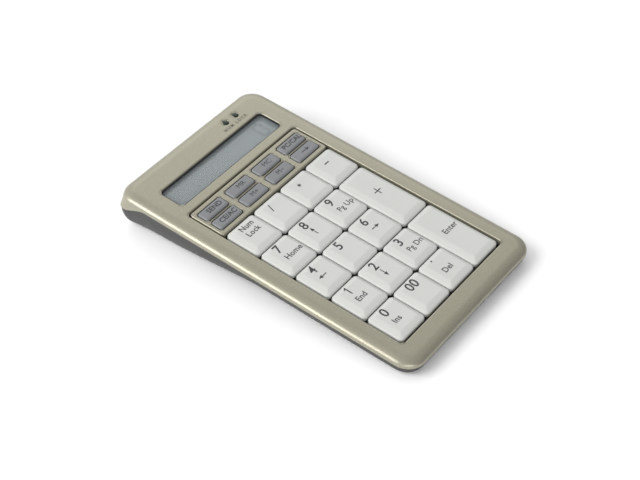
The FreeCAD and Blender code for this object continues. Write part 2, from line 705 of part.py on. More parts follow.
def make_circuit_board():
    """The board under the function panel and the display, with the parts soldered to it."""
    board = new_body("CircuitBoard")
    outline = new_sketch(board, "XY_Plane", (0, "(board_front + board_rear) / 2", "-board_bottom"))
    rounded_rectangle(outline, "board_width", "board_rear - board_front", 1)
    extrude(board, outline, "Pad", "board_bottom - plate_top")
    keep(board, "circuit_board")

    under = "-board_bottom"
    parts = [block("Processor", (12, 12, 1.6), (-20, "board_front + 14.4", f"{under} - 1.6")),
             block("DisplayDriver", (10, 8, 1.4), (8, "board_front + 16.4", f"{under} - 1.4")),
             block("Memory", (5, 4, 1.4), (-2, "board_front + 28.4", f"{under} - 1.4")),
             block("Crystal", (10, 3.8, 3.4), (-18, "board_front + 32.4", f"{under} - 3.4")),
             disc("Capacitor1", 2.5, 5, (22, "board_front + 32.4", f"{under} - 5")),
             disc("Capacitor2", 2.5, 5, (28, "board_front + 32.4", f"{under} - 5"))]
    for index in range(8):
        parts.append(block(f"Resistor{index}", (1.6, 0.8, 0.5),
                           (-4 + index * 3, "board_front + 10.4", f"{under} - 0.5")))
    for index, (x, y) in enumerate(INDICATORS):
        parts.append(block(f"Led{index}", (1.6, 0.8, 0.7), (x - 0.8, y - 0.4, "-plate_top")))
    return keep(group("Components", parts), "board_components")


def make_socket():
    """The USB socket: a metal shell and a tongue, held under the board by a moulded riser."""
    wall = 0.4
    back = "socket_mouth - socket_length"
    top = "-socket_depth + socket_height / 2"
    bottom = "-socket_depth - socket_height / 2"
    shell = block("SocketOuter", ("socket_width", "socket_length", "socket_height"),
                  ("-socket_width / 2", back, bottom))
    mouth = block("SocketMouth",
                  (f"socket_width - {2 * wall}", "socket_length", f"socket_height - {2 * wall}"),
                  (f"{wall} - socket_width / 2", f"{back} + {wall}", f"{bottom} + {wall}"))
    tongue = block("SocketTongue", (4.6, "socket_length - 2", 1),
                   (-2.3, f"{back} + {wall}", "-socket_depth"))
    riser = block("SocketRiser", (9, "socket_length - 2", f"-board_bottom - ({top})"),
                  (-4.5, back, top))
    return keep(group("Socket", [cut("SocketShell", shell, mouth), tongue, riser]), "usb_socket")


# ---------------------------------------------------------------- fasteners and feet

def make_screws():
    """Six pan head screws that hold the bottom cover to the top cover's bosses."""
    screws = []
    for seat, places in ((FRONT_SEAT, FRONT_SCREWS), (REAR_SEAT, REAR_SCREWS)):
        for x, y in places:
            name = f"Screw{len(screws)}"
            bottom = f"-{seat} - head_height"
            head = disc(f"{name}_head", "head_radius", "head_height", (x, y, bottom))
            shank = disc(f"{name}_shank", "screw_radius", "screw_length", (x, y, f"-{seat}"))
            slot_long = block(f"{name}_slot_long", (2.2, 0.5, 0.6), (x - 1.1, y - 0.25, bottom))
            slot_wide = block(f"{name}_slot_wide", (0.5, 2.2, 0.6), (x - 0.25, y - 1.1, bottom))
            cross = fuse(f"{name}_cross", [slot_long, slot_wide])
            screws.append(cut(name, fuse(f"{name}_solid", [head, shank]), cross))
    return keep(group("Screws", screws), "case_screws")


def make_feet():
    """Four rubber feet that stand upright, cut to the covers above them."""
    front_x = 32
    front_y = 15.5
    rear_x = 30
    rear_y = 142.5
    cover = 20
    feet = []
    for side in (-1, 1):
        below = on_case(side * front_x, front_y, number("-slab_depth")).Base
        pad = disc(f"FrontPad{side + 1}", "foot_radius", 6,
                   Placement(Vector(below.x, below.y, 0), Rotation()))
        slab = block(f"FrontSlab{side + 1}", (cover, cover, cover),
                     on_case(side * front_x - cover / 2, front_y - cover / 2, number("-slab_depth")))
        feet.append(cut(f"FrontFoot{side + 1}", pad, slab))
        below = on_case(side * rear_x, rear_y, -number(table_depth(rear_y))).Base
        feet.append(disc(f"RearFoot{side + 1}", "foot_radius", "belly_lift * cos(case_tilt * 1deg)",
                         Placement(Vector(below.x, below.y, 0), Rotation())))
    return keep(group("Feet", feet), "rubber_feet", Placement())


# ---------------------------------------------------------------- build and export

make_top_cover()
make_bottom_cover()
for key in KEYS:
    make_keycap(*key)
    make_scissor(*key)
make_key_layers()
make_function_panel()
for button in BUTTONS:
    make_button(*button)
make_button_mat()
make_display()
make_circuit_board()
make_socket()
make_screws()
make_feet()

doc.recompute()
for thing in doc.Objects:
    if "Invalid" in thing.State or "Error" in thing.State:
        raise RuntimeError(f"{thing.Name} failed: {thing.State}")
for label, thing in node_objects.items():
    if thing.Shape.isNull() or not thing.Shape.isValid():
        raise RuntimeError(f"{label} has no valid shape")

os.makedirs("parts", exist_ok=True)
whole = Part.makeCompound([thing.Shape for thing in node_objects.values()])
for label, thing in node_objects.items():
    thing.Shape.exportStep(os.path.join("parts", f"{label}.step"))
bounds = whole.BoundBox
print(len(node_objects), "sub-parts")
print("box", [round(value, 3) for value in (bounds.XMin, bounds.YMin, bounds.ZMin,
                                           bounds.XMax, bounds.YMax, bounds.ZMax)])
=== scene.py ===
"""A numeric keypad with a display, dressed for a studio picture.

Shapes are worked out in the case's own frame, in millimetres: the origin is the middle of the front
edge, X runs to the right, Y towards the display and Z out of the cover, whose flat top is z = 0.
"""

import json
import logging
import math
from collections.abc import Callable, Iterable, Sequence
from dataclasses import dataclass, field
from enum import Enum

import bmesh
import bpy
import numpy as np
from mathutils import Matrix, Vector
from mathutils.geometry import delaunay_2d_cdt

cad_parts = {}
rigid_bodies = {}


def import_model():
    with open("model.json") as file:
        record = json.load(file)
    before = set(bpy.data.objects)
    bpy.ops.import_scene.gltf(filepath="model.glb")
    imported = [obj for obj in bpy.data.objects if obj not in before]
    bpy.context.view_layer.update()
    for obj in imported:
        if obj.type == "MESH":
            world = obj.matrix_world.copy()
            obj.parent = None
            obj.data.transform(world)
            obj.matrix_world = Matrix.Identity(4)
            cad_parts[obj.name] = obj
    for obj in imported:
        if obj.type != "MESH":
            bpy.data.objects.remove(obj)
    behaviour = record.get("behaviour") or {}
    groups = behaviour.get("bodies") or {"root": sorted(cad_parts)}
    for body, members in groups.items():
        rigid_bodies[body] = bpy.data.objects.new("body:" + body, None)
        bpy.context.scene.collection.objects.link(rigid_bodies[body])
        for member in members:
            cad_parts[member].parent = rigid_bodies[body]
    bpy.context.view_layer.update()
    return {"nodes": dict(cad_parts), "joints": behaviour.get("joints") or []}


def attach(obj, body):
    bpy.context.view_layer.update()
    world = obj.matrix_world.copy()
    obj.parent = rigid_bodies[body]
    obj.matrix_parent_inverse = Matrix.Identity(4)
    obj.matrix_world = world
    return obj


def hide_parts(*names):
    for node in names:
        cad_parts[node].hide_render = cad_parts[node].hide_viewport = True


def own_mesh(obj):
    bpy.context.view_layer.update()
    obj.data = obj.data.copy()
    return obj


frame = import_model()
LOG = logging.getLogger("keypad")
MM = 0.001
Array = np.ndarray
Colour = tuple[float, float, float]
Surface = Callable[[Array, Array], Array]


# ---------------------------------------------------------------- the case's frame

class CaseFrame:
    """The case's tilted frame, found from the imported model."""

    def __init__(self) -> None:
        """Takes the tilt from a key's travel, and the origin from the top cover's front edge and top."""
        axis = next(joint["axis"] for joint in frame["joints"] if joint["name"] == "key_5_press")
        self.tilt = math.atan2(axis[1], -axis[2])
        cos, sin = math.cos(self.tilt), math.sin(self.tilt)
        self.turn = np.array([[1, 0, 0], [0, cos, -sin], [0, sin, cos]])
        self.origin = np.zeros(3)
        low, high = self.box("top_cover")
        self.origin = self.turn @ np.array([0.0, low[1], high[2]]) * MM
        self.front_drop = self.origin[2] / MM / cos

    def place(self, points: Array) -> Array:
        """Carries points in the case's frame, in millimetres, to the part's frame, in metres."""
        return points @ self.turn.T * MM + self.origin

    def box(self, node: str) -> tuple[Array, Array]:
        """The lowest and highest corner of a CAD node along the case's own axes, in millimetres.

        Args:
            node: The node's name.

        Returns:
            The two corners.
        """
        vertices = frame["nodes"][node].data.vertices
        points = np.empty(len(vertices) * 3)
        vertices.foreach_get("co", points)
        points = (points.reshape(-1, 3) - self.origin) @ self.turn / MM
        return points.min(axis=0), points.max(axis=0)

    def table(self, y: Array) -> Array:
        """The height of the table: it falls away from the front edge at the tilt."""
        return -self.front_drop - y * math.tan(self.tilt)


CASE = CaseFrame()


# ---------------------------------------------------------------- surfaces

def smooth_step(value: Array, start: float, end: float) -> Array:
    """0 before start and 1 after end, with three squares less two cubes of the share between."""
    share = np.clip((value - start) / (end - start), 0, 1)
    return share * share * (3 - 2 * share)


def soft_max(one: Array, other: Array, width: float) -> Array:
    """The larger of two, raised by a quarter of width times the square of their nearness, 1 - gap / width."""
    near = np.clip(1 - np.abs(one - other) / width, 0, None)
    return np.maximum(one, other) + width / 4 * near * near


def level(height: float) -> Surface:
    """A flat surface at a height."""
    return lambda x, y: np.full_like(x, height)


@dataclass(frozen=True)
class Outline:
    """A rounded rectangle in plan, by its centre, sizes, corner radius and steps along each run."""

    x: float
    y: float
    width: float
    length: float
    radius: float
    across: int = 6
    along: int = 6
    corner: int = 8

    @classmethod
    def of_node(cls, node: str, radius: float, gap: float = 0.0,
                steps: tuple[int, int, int] = (6, 6, 8)) -> "Outline":
        """The outline of a CAD node's box, grown by a gap all round.

        Args:
            node: The node's name.
            radius: The corner radius.
            gap: How far it stands off the box.
            steps: The steps across, along and round a corner.

        Returns:
            The outline.
        """
        low, high = CASE.box(node)
        x, y = (low[:2] + high[:2]) / 2
        width, length = high[:2] - low[:2] + 2 * gap
        return cls(x, y, width, length, radius, *steps)

    @property
    def steps(self) -> tuple[int, int]:
        """How many steps the ring takes across and along, each from one corner's middle to the next."""
        return self.across + self.corner, self.along + self.corner

    def ring(self, inset: float = 0.0) -> Array:
        """The ring drawn an inset further in, anticlockwise from the middle of the front left corner.

        Each corner is an arc about its own centre, and each side divides the run between two arcs.

        Args:
            inset: How far the ring is moved inwards; below 0 it is moved outwards.

        Returns:
            Points in plan, one a row.
        """
        half = np.array([self.width, self.length]) / 2 - inset
        radius = min(max(self.radius - inset, 0.02), *half)
        signs = np.array([(-1, -1), (1, -1), (1, 1), (-1, 1)])
        angles = np.radians(180 + 90 * np.arange(4)[:, None] + np.linspace(0, 90, self.corner + 1))
        arcs = np.stack([np.cos(angles), np.sin(angles)], axis=-1) * radius
        arcs += (signs * (half - radius))[:, None]
        runs = []
        for index, arc in enumerate(arcs):
            count = self.along if index % 2 else self.across
            share = np.linspace(0, 1, count, endpoint=False)[:, None]
            runs += [arc[:-1], arc[-1] + share * (arcs[(index + 1) % 4][0] - arc[-1])]
        return np.roll(np.concatenate(runs), -self.corner // 2, axis=0) + (self.x, self.y)

    def holds(self, points: Array) -> Array:
        """Which points are inside: those whose distance to the inner rectangle is under the radius.

        Args:
            points: Points in plan, one a row.

        Returns:
            True for each point that is inside.
        """
        reach = np.abs(points - (self.x, self.y)) - (np.array([self.width, self.length]) / 2 - self.radius)
        outside = np.linalg.norm(np.clip(reach, 0, None), axis=1)
        return outside + np.clip(reach.max(axis=1), None, 0) < self.radius


def sweep(outline: Outline, insets: Array, heights: Array, drift: tuple[float, float] = (0, 0)) -> Array:
    """Carries a profile round an outline.

    Row i is the outline drawn insets[i] further in at heights[i]. Where the insets change round the
    outline as well, each point moves in along its own normal. The drift moves the rows sideways by
    their share of the largest inset.

    Args:
        outline: The rounded rectangle.
        insets: One inset a row, or one a row and a point of the ring.
        heights: The same for the heights.
        drift: How far the innermost row is moved along X and Y.

    Returns:
        A grid of points, a row for each step of the profile.
    """
    if insets.ndim == 1:
        plan = np.stack([outline.ring(inset) for inset in insets])
        plan += (insets / max(np.abs(insets).max(), 1e-9))[:, None, None] * np.array(drift)
    else:
        ring = outline.ring()
        plan = ring - insets[..., None] * (outline.ring(-1.0) - ring)
    if heights.ndim == 1:
        heights = np.repeat(heights[:, None], plan.shape[1], axis=1)
    return np.concatenate([plan, heights[..., None]], axis=2)


def fill(ring: Array, steps: tuple[int, int]) -> Array:
    """Fills a ring with a Coons patch: two ruled surfaces between opposite sides, less the bilinear one.

    Args:
        ring: The ring's points, from a corner's middle.
        steps: How many steps the ring takes across and along.

    Returns:
        A grid of points whose border is the ring.
    """
    across, along = steps
    front = ring[:across + 1]
    right = ring[across:across + along + 1]
    rear = ring[across + along:2 * across + along + 1][::-1]
    left = np.concatenate([ring[2 * across + along:], ring[:1]])[::-1]
    u = np.linspace(0, 1, across + 1)[:, None, None]
    v = np.linspace(0, 1, along + 1)[None, :, None]
    ruled = (1 - v) * front[:, None] + v * rear[:, None] + (1 - u) * left[None] + u * right[None]
    flat = (1 - u) * ((1 - v) * front[0] + v * rear[0]) + u * ((1 - v) * front[-1] + v * rear[-1])
    return ruled - flat


def revolve(x: float, y: float, radii: Array, heights: Array, steps: int = 32) -> Array:
    """Turns a profile about an upright axis: x and y are the radius times the angle's cosine and sine.

    Args:
        x: Where the axis stands.
        y: The same along Y.
        radii: The profile's distances from the axis.
        heights: Its heights.
        steps: How many steps a full turn takes.

    Returns:
        A grid of points, a ring for each step of the profile.
    """
    angles = np.linspace(0, 2 * math.pi, steps, endpoint=False)
    ring = np.stack([np.cos(angles), np.sin(angles)], axis=-1)
    plan = radii[:, None, None] * ring + (x, y)
    return np.concatenate([plan, np.repeat(heights[:, None, None], steps, axis=1)], axis=2)


def quarter_round(radius: float, steps: int = 5) -> tuple[Array, Array]:
    """An edge's rounding: the way in and the way down, one less the sine and one less the cosine."""
    angle = np.linspace(0, math.pi / 2, steps)
    return radius * (1 - np.sin(angle)), radius * (1 - np.cos(angle))


class Skin:
    """Collects the surfaces of one piece and joins them where they meet."""

    def __init__(self, name: str) -> None:
        """Starts a piece with no surface."""
        self.name = name
        self.points: list[Array] = []
        self.faces: list[list[int]] = []
        self.count = 0

    def grid(self, points: Array, closed: bool = True, flip: bool = False) -> None:
        """Adds a grid of points as four-sided faces, whose outside is rows crossed with columns.

        Args:
            points: Rows and columns of points.
            closed: Whether each row is a ring.
            flip: Whether the outside is the other side.
        """
        rows, columns = points.shape[:2]
        index = np.arange(rows * columns).reshape(rows, columns)
        if closed:
            index = np.concatenate([index, index[:, :1]], axis=1)
        quads = np.stack([index[:-1, :-1], index[1:, :-1], index[1:, 1:], index[:-1, 1:]], axis=-1)
        self.patch(points.reshape(-1, 3), quads.reshape(-1, 4), flip)

    def patch(self, points: Array, faces: Array, flip: bool = False) -> None:
        """Adds loose points with faces that name them.

        Args:
            points: The points, one a row.
            faces: The points of each face, one a row.
            flip: Whether the outside is the other side.
        """
        faces = np.asarray(faces) + self.count
        self.faces += (faces[:, ::-1] if flip else faces).tolist()
        self.points.append(points)
        self.count += len(points)

    def plate(self, surface: Surface, outer: Array, holes: Sequence[Outline] = (), margin: float = 0.0,
              between: Array = np.empty((0, 2)), flip: bool = False) -> None:
        """Adds a plate with holes, as the triangles between its rings, and lifts each point to a surface.

        Args:
            surface: Gives the plate's height at points in plan.
            outer: The outer ring, in plan.
            holes: The outlines of its holes.
            margin: How far each hole's ring stands off its outline.
            between: Points in plan between the rings, which let the plate bend.
            flip: Whether the plate faces down.
        """
        rings = [outer, *(hole.ring(-margin) for hole in holes)]
        starts = np.cumsum([0] + [len(ring) for ring in rings])
        edges = [(int(start + i), int(start + (i + 1) % len(ring)))
                 for start, ring in zip(starts, rings) for i in range(len(ring))]
        points = np.concatenate([*rings, between])
        found = delaunay_2d_cdt([Vector(point) for point in points], edges, [], 1, 1e-6)
        plan = np.array([tuple(point) for point in found[0]])
        triangles = np.array([tuple(face) for face in found[2]])
        middles = plan[triangles].mean(axis=1)
        for hole in holes:
            kept = ~hole.holds(middles)
            triangles, middles = triangles[kept], middles[kept]
        self.patch(np.column_stack([plan, surface(*plan.T)]), triangles, flip)

    def build(self, crease: float = 40.0) -> bpy.types.Object:
        """Makes the piece: a smooth mesh in the part's frame, with its doubled points joined.

        Args:
            crease: The angle in degrees from which an edge is sharp.

        Returns:
            The new object.
        """
        mesh = bpy.data.meshes.new(self.name)
        mesh.from_pydata(CASE.place(np.concatenate(self.points)), [], self.faces)
        return new_piece(self.name, join_doubles(mesh), crease)


def join_doubles(mesh: bpy.types.Mesh) -> bpy.types.Mesh:
    """Joins the points of a mesh that lie on each other, and drops points with no face.

    Args:
        mesh: The mesh, which is changed.

    Returns:
        The same mesh.
    """
    work = bmesh.new()
    work.from_mesh(mesh)
    bmesh.ops.remove_doubles(work, verts=work.verts, dist=2e-6)
    bmesh.ops.delete(work, geom=[point for point in work.verts if not point.link_faces], context="VERTS")
    work.to_mesh(mesh)
    work.free()
    return mesh


def new_piece(name: str, mesh: bpy.types.Mesh, crease: float = 40.0) -> bpy.types.Object:
    """Puts a mesh in the scene, smooth but for edges sharper than the crease angle.

    Args:
        name: The new object's name.
        mesh: Its mesh.
        crease: The angle in degrees from which an edge is sharp.

    Returns:
        The new object.
    """
    mesh.shade_smooth()
    mesh.set_sharp_from_angle(angle=math.radians(crease))
    piece = bpy.data.objects.new(name, mesh)
    bpy.context.scene.collection.objects.link(piece)
    return piece


def settle(piece: bpy.types.Object, crease: float = 40.0) -> None:
    """Makes a piece's modifiers part of its mesh.

    Args:
        piece: The piece, which is changed.
        crease: The angle in degrees from which an edge is sharp.
    """
    evaluated = piece.evaluated_get(bpy.context.evaluated_depsgraph_get())
    mesh = bpy.data.meshes.new_from_object(evaluated)
    piece.modifiers.clear()
    piece.data = mesh
    mesh.shade_smooth()
    mesh.set_sharp_from_angle(angle=math.radians(crease))


def thicken(piece: bpy.types.Object, wall: float) -> None:
    """Gives a skin a wall inside it, in millimetres.

    Args:
        piece: The skin, which is changed.
        wall: How thick the wall is.
    """
    modifier = piece.modifiers.new("wall", "SOLIDIFY")
    modifier.thickness = wall * MM
    modifier.offset = -1
    settle(piece)


def cut(piece: bpy.types.Object, cutters: Iterable[bpy.types.Object]) -> None:
    """Cuts other solids out of a piece and throws them away.

    Args:
        piece: The piece, which is changed.
        cutters: The closed solids.
    """
    tools = list(cutters)
    for tool in tools:
        modifier = piece.modifiers.new("cut", "BOOLEAN")
        modifier.object = tool
        modifier.operation = "DIFFERENCE"
        modifier.solver = "MANIFOLD"
    settle(piece)
    for tool in tools:
        bpy.data.objects.remove(tool)


# ---------------------------------------------------------------- finishes

def new_group(name: str, inputs: dict[str, str], outputs: dict[str, str]) -> bpy.types.ShaderNodeTree:
    """An empty shader node group with named sockets.

    Args:
        name: The group's name.
        inputs: The kind of each input socket, such as "Float", by its name.
        outputs: The same for the outputs.

    Returns:
        The group, with its two end nodes in it.
    """
    group = bpy.data.node_groups.new(name, "ShaderNodeTree")
    for sockets, way in ((inputs, "INPUT"), (outputs, "OUTPUT")):
        for label, kind in sockets.items():
            group.interface.new_socket(label, in_out=way, socket_type=f"NodeSocket{kind}")
    group.nodes.new("NodeGroupInput")
    group.nodes.new("NodeGroupOutput")
    return group


def noise(tree: bpy.types.NodeTree, vector: bpy.types.NodeSocket, scale: float | bpy.types.NodeSocket,
          detail: float = 3.0) -> bpy.types.NodeSocket:
    """A noise texture's value at a scale, which is a number or another socket.

    Args:
        tree: The node tree.
        vector: Where the texture is read.
        scale: Its features to a metre.
        detail: How many octaves it has.

    Returns:
        The socket of the value.
    """
    texture = tree.nodes.new("ShaderNodeTexNoise")
    texture.inputs["Detail"].default_value = detail
    tree.links.new(vector, texture.inputs["Vector"])
    if isinstance(scale, bpy.types.NodeSocket):
        tree.links.new(scale, texture.inputs["Scale"])
    else:
        texture.inputs["Scale"].default_value = scale
    return texture.outputs["Fac"]


def spread(tree: bpy.types.NodeTree, value: bpy.types.NodeSocket, low: float,
           high: float) -> bpy.types.NodeSocket:
    """Stretches the part of a value from low to high over 0 to 1.

    Args:
        tree: The node tree.
        value: The value's socket.
        low: What becomes 0.
        high: What becomes 1.

    Returns:
        The socket of the result.
    """
    ramp = tree.nodes.new("ShaderNodeMapRange")
    ramp.inputs["From Min"].default_value = low
    ramp.inputs["From Max"].default_value = high
    tree.links.new(value, ramp.inputs["Value"])
    return ramp.outputs["Result"]


def blend_colour(tree: bpy.types.NodeTree, share: bpy.types.NodeSocket, one: object,
                 other: object) -> bpy.types.NodeSocket:
    """Mixes two colours, each a socket or four numbers, by a share.

    Args:
        tree: The node tree.
        share: How much of the second is mixed in.
        one: The first colour.
        other: The second colour.

    Returns:
        The socket of the mixed colour.
    """
    mix = tree.nodes.new("ShaderNodeMix")
    mix.data_type = "RGBA"
    tree.links.new(share, mix.inputs["Factor"])
    for label, colour in (("A", one), ("B", other)):
        socket = next(item for item in mix.inputs if item.name == label and item.type == "RGBA")
        if isinstance(colour, bpy.types.NodeSocket):
            tree.links.new(colour, socket)
        else:
            socket.default_value = colour
    return next(item for item in mix.outputs if item.type == "RGBA")


def arithmetic(tree: bpy.types.NodeTree, kind: str, *values: object) -> bpy.types.NodeSocket:
    """A math node of a kind, whose inputs are sockets or numbers.

    Args:
        tree: The node tree.
        kind: The sum that it does.
        values: Its inputs, in order.

    Returns:
        The socket of the result.
    """
    node = tree.nodes.new("ShaderNodeMath")
    node.operation = kind
    for socket, value in zip(node.inputs, values):
        if isinstance(value, bpy.types.NodeSocket):
            tree.links.new(value, socket)
        else:
            socket.default_value = value
    return node.outputs[0]


def make_grain_group() -> bpy.types.ShaderNodeTree:
    """Moulded grain: fine mottling of the colour and gloss, with a bump of the same grain.

    Broad, faint smudges are laid over it, as hands leave on plastic.

    Returns:
        A group that puts out a colour, a roughness and a normal.
    """
    group = new_group("moulded_grain",
                      {"Vector": "Vector", "Colour": "Color", "Shade": "Color", "Scale": "Float",
                       "Roughness": "Float", "Spread": "Float", "Relief": "Float"},
                      {"Colour": "Color", "Roughness": "Float", "Normal": "Vector"})
    inlet = next(node for node in group.nodes if node.type == "GROUP_INPUT").outputs
    outlet = next(node for node in group.nodes if node.type == "GROUP_OUTPUT").inputs
    fine = noise(group, inlet["Vector"], inlet["Scale"])
    smudge = spread(group, noise(group, inlet["Vector"], 55.0, 4.0), 0.35, 0.7)
    share = arithmetic(group, "MULTIPLY_ADD", smudge, 0.35, arithmetic(group, "MULTIPLY", fine, 0.65))
    group.links.new(blend_colour(group, share, inlet["Colour"], inlet["Shade"]), outlet["Colour"])
    change = arithmetic(group, "MULTIPLY", arithmetic(group, "SUBTRACT", share, 0.5), inlet["Spread"])
    group.links.new(arithmetic(group, "ADD", inlet["Roughness"], change), outlet["Roughness"])
    bump = group.nodes.new("ShaderNodeBump")
    bump.inputs["Distance"].default_value = 0.00004
    group.links.new(fine, bump.inputs["Height"])
    group.links.new(inlet["Relief"], bump.inputs["Strength"])
    group.links.new(bump.outputs["Normal"], outlet["Normal"])
    return group


def make_flake_group() -> bpy.types.ShaderNodeTree:
    """Metal flake: each cell of a fine Voronoi pattern is a flake, lighter or darker than the paint.

    Returns:
        A group that puts out a colour.
    """
    group = new_group("metal_flake",
                      {"Vector": "Vector", "Colour": "Color", "Flake": "Color", "Scale": "Float"},
                      {"Colour": "Color"})
    inlet = next(node for node in group.nodes if node.type == "GROUP_INPUT").outputs
    outlet = next(node for node in group.nodes if node.type == "GROUP_OUTPUT").inputs
    cells = group.nodes.new("ShaderNodeTexVoronoi")
    group.links.new(inlet["Vector"], cells.inputs["Vector"])
    group.links.new(inlet["Scale"], cells.inputs["Scale"])
    channels = group.nodes.new("ShaderNodeSeparateColor")
    group.links.new(cells.outputs["Color"], channels.inputs["Color"])
    share = spread(group, channels.outputs["Red"], 0.5, 1.0)
    group.links.new(blend_colour(group, share, inlet["Colour"], inlet["Flake"]), outlet["Colour"])
    return group


GRAIN = make_grain_group()
FLAKE = make_flake_group()


@dataclass(frozen=True)
class Coating:
    """A solid finish: its colour and the shade that mottles it, its gloss and its grain.

    The grain is in features to a metre. A flake colour makes it a metallic paint.
    """

    colour: Colour
    shade: Colour
    roughness: float
    scale: float = 2500.0
    variation: float = 0.12
    relief: float = 0.25
    metallic: float = 0.0
    coat: float = 0.0
    flake: Colour | None = None
    alpha: float = 1.0
    # painted light: when given, the colour turns to this lighter one along X, a painted gradient of light
    painted_light_fade: Colour | None = None

    def material(self, name: str) -> bpy.types.Material:
        """Makes the material.

        Args:
            name: The material's name.

        Returns:
            A material whose pattern is fixed to the piece.
        """
        material = bpy.data.materials.new(name)
        material.use_nodes = True
        tree = material.node_tree
        shader = tree.nodes["Principled BSDF"]
        vector = tree.nodes.new("ShaderNodeTexCoord").outputs["Object"]
        grain = tree.nodes.new("ShaderNodeGroup")
        grain.node_tree = GRAIN
        tree.links.new(vector, grain.inputs["Vector"])
        for label, value in (("Scale", self.scale), ("Roughness", self.roughness),
                             ("Spread", self.variation), ("Relief", self.relief)):
            grain.inputs[label].default_value = value
        grain.inputs["Colour"].default_value = (*self.colour, 1)
        grain.inputs["Shade"].default_value = (*self.shade, 1)
        colour = grain.outputs["Colour"]
        if self.flake:
            flake = tree.nodes.new("ShaderNodeGroup")
            flake.node_tree = FLAKE
            flake.inputs["Flake"].default_value = (*self.flake, 1)
            flake.inputs["Scale"].default_value = 6000.0
            tree.links.new(vector, flake.inputs["Vector"])
            tree.links.new(colour, flake.inputs["Colour"])
            colour = flake.outputs["Colour"]
        # painted light: blends the colour towards a lighter one along X, as if that side were lit
        if self.painted_light_fade:
            axes = tree.nodes.new("ShaderNodeSeparateXYZ")
            tree.links.new(vector, axes.inputs["Vector"])
            share = spread(tree, axes.outputs["X"], -0.02, 0.04)
            colour = blend_colour(tree, share, colour, (*self.painted_light_fade, 1))
        tree.links.new(colour, shader.inputs["Base Color"])
        tree.links.new(grain.outputs["Roughness"], shader.inputs["Roughness"])
        tree.links.new(grain.outputs["Normal"], shader.inputs["Normal"])
        shader.inputs["Metallic"].default_value = self.metallic
        shader.inputs["Coat Weight"].default_value = self.coat
        shader.inputs["Alpha"].default_value = self.alpha
        return material


class Finish(Enum):
    """Every finish on the keypad."""

    COVER = Coating((0.328, 0.314, 0.243), (0.305, 0.291, 0.224), 0.33, 3000, 0.08, 0.12, metallic=0.6,
                    flake=(0.4, 0.381, 0.302))
    BASE = Coating((0.042, 0.042, 0.041), (0.034, 0.034, 0.033), 0.5, 2200, 0.15, 0.5)
    KEY = Coating((0.56, 0.567, 0.545), (0.535, 0.542, 0.52), 0.4, 2600, 0.1, 0.2)
    BUTTON = Coating((0.2, 0.207, 0.216), (0.18, 0.187, 0.196), 0.38, 2600, 0.1, 0.2)
    INK = Coating((0.03, 0.03, 0.032), (0.04, 0.04, 0.042), 0.5, 4000, 0.1, 0.1)
    FAINT_INK = Coating((0.05, 0.047, 0.04), (0.06, 0.057, 0.05), 0.5, 4000, 0.1, 0.1)
    # painted shade: the near-black lining put round the display window's walls, where the recess lies in
    # shade
    MASK = Coating((0.012, 0.012, 0.013), (0.02, 0.02, 0.02), 0.45, 3000, 0.1, 0.2)
    LINK = Coating((0.78, 0.78, 0.74), (0.7, 0.7, 0.66), 0.45)
    RUBBER = Coating((0.10, 0.10, 0.105), (0.13, 0.13, 0.135), 0.7, 1800, 0.2, 0.6)
    FOOT = Coating((0.03, 0.03, 0.032), (0.05, 0.05, 0.052), 0.8, 1500, 0.15, 0.8)
    STEEL = Coating((0.55, 0.55, 0.56), (0.45, 0.45, 0.46), 0.32, 900, 0.25, 0.2, metallic=1.0)
    # the display glass carries a painted gradient of light, lighter towards its right end
    GLASS = Coating((0.108, 0.13, 0.135), (0.102, 0.123, 0.128), 0.16, 1200, 0.05, 0.02, coat=0.3,
                    painted_light_fade=(0.13, 0.16, 0.167))
    SEGMENT = Coating((0.05, 0.06, 0.07), (0.045, 0.055, 0.065), 0.3, 1200, 0.05, 0.02)
    LENS = Coating((0.75, 0.80, 0.82), (0.7, 0.76, 0.78), 0.06, 300, 0.04, 0.01, alpha=0.1)
    INDICATOR = Coating((0.006, 0.016, 0.008), (0.01, 0.022, 0.01), 0.22, 900, 0.05, 0.05, coat=0.1)
    FILM = Coating((0.06, 0.065, 0.07), (0.075, 0.08, 0.085), 0.35, 700, 0.15, 0.05)
    BOARD = Coating((0.02, 0.12, 0.05), (0.03, 0.16, 0.07), 0.4, 900, 0.2, 0.3)
    COMPONENT = Coating((0.03, 0.03, 0.03), (0.06, 0.06, 0.06), 0.5, 2500, 0.2, 0.4)
    SCREW = Coating((0.36, 0.35, 0.34), (0.28, 0.27, 0.26), 0.35, 2000, 0.25, 0.3, metallic=1.0)
    FLOOR = Coating((0.96, 0.96, 0.96), (0.95, 0.95, 0.95), 0.7, 30, 0.05, 0.0)


MATERIALS: dict[Finish, bpy.types.Material] = {}


def dress(piece: bpy.types.Object, finish: Finish) -> None:
    """Gives a piece one finish over its whole surface.

    Args:
        piece: The piece.
        finish: Its finish.
    """
    if finish not in MATERIALS:
        MATERIALS[finish] = finish.value.material(finish.name.lower())
    if not piece.material_slots:
        piece.data.materials.append(MATERIALS[finish])
    for slot in piece.material_slots:
        slot.material = MATERIALS[finish]


def fit(piece: bpy.types.Object, finish: Finish, body: str, slot: str, *nodes: str) -> bpy.types.Object:
    """Finishes a piece, fixes it to a body and puts it in the place of CAD nodes.

    Args:
        piece: The piece, with its mesh final.
        finish: Its finish.
        body: The body that it moves with.
        slot: The material slot of the record that it belongs to; it is not used.
        nodes: The CAD nodes that it stands for.

    Returns:
        The same piece.
    """
    dress(piece, finish)
    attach(piece, body)
    if nodes:
        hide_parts(*nodes)
    LOG.info("%s rides on %s", piece.name, body)
    return piece


# ---------------------------------------------------------------- marks

class Way(Enum):
    """The direction of an arrow, as a turn in quarter turns from pointing right."""

    RIGHT = 0
    UP = 1
    LEFT = 2
    DOWN = 3


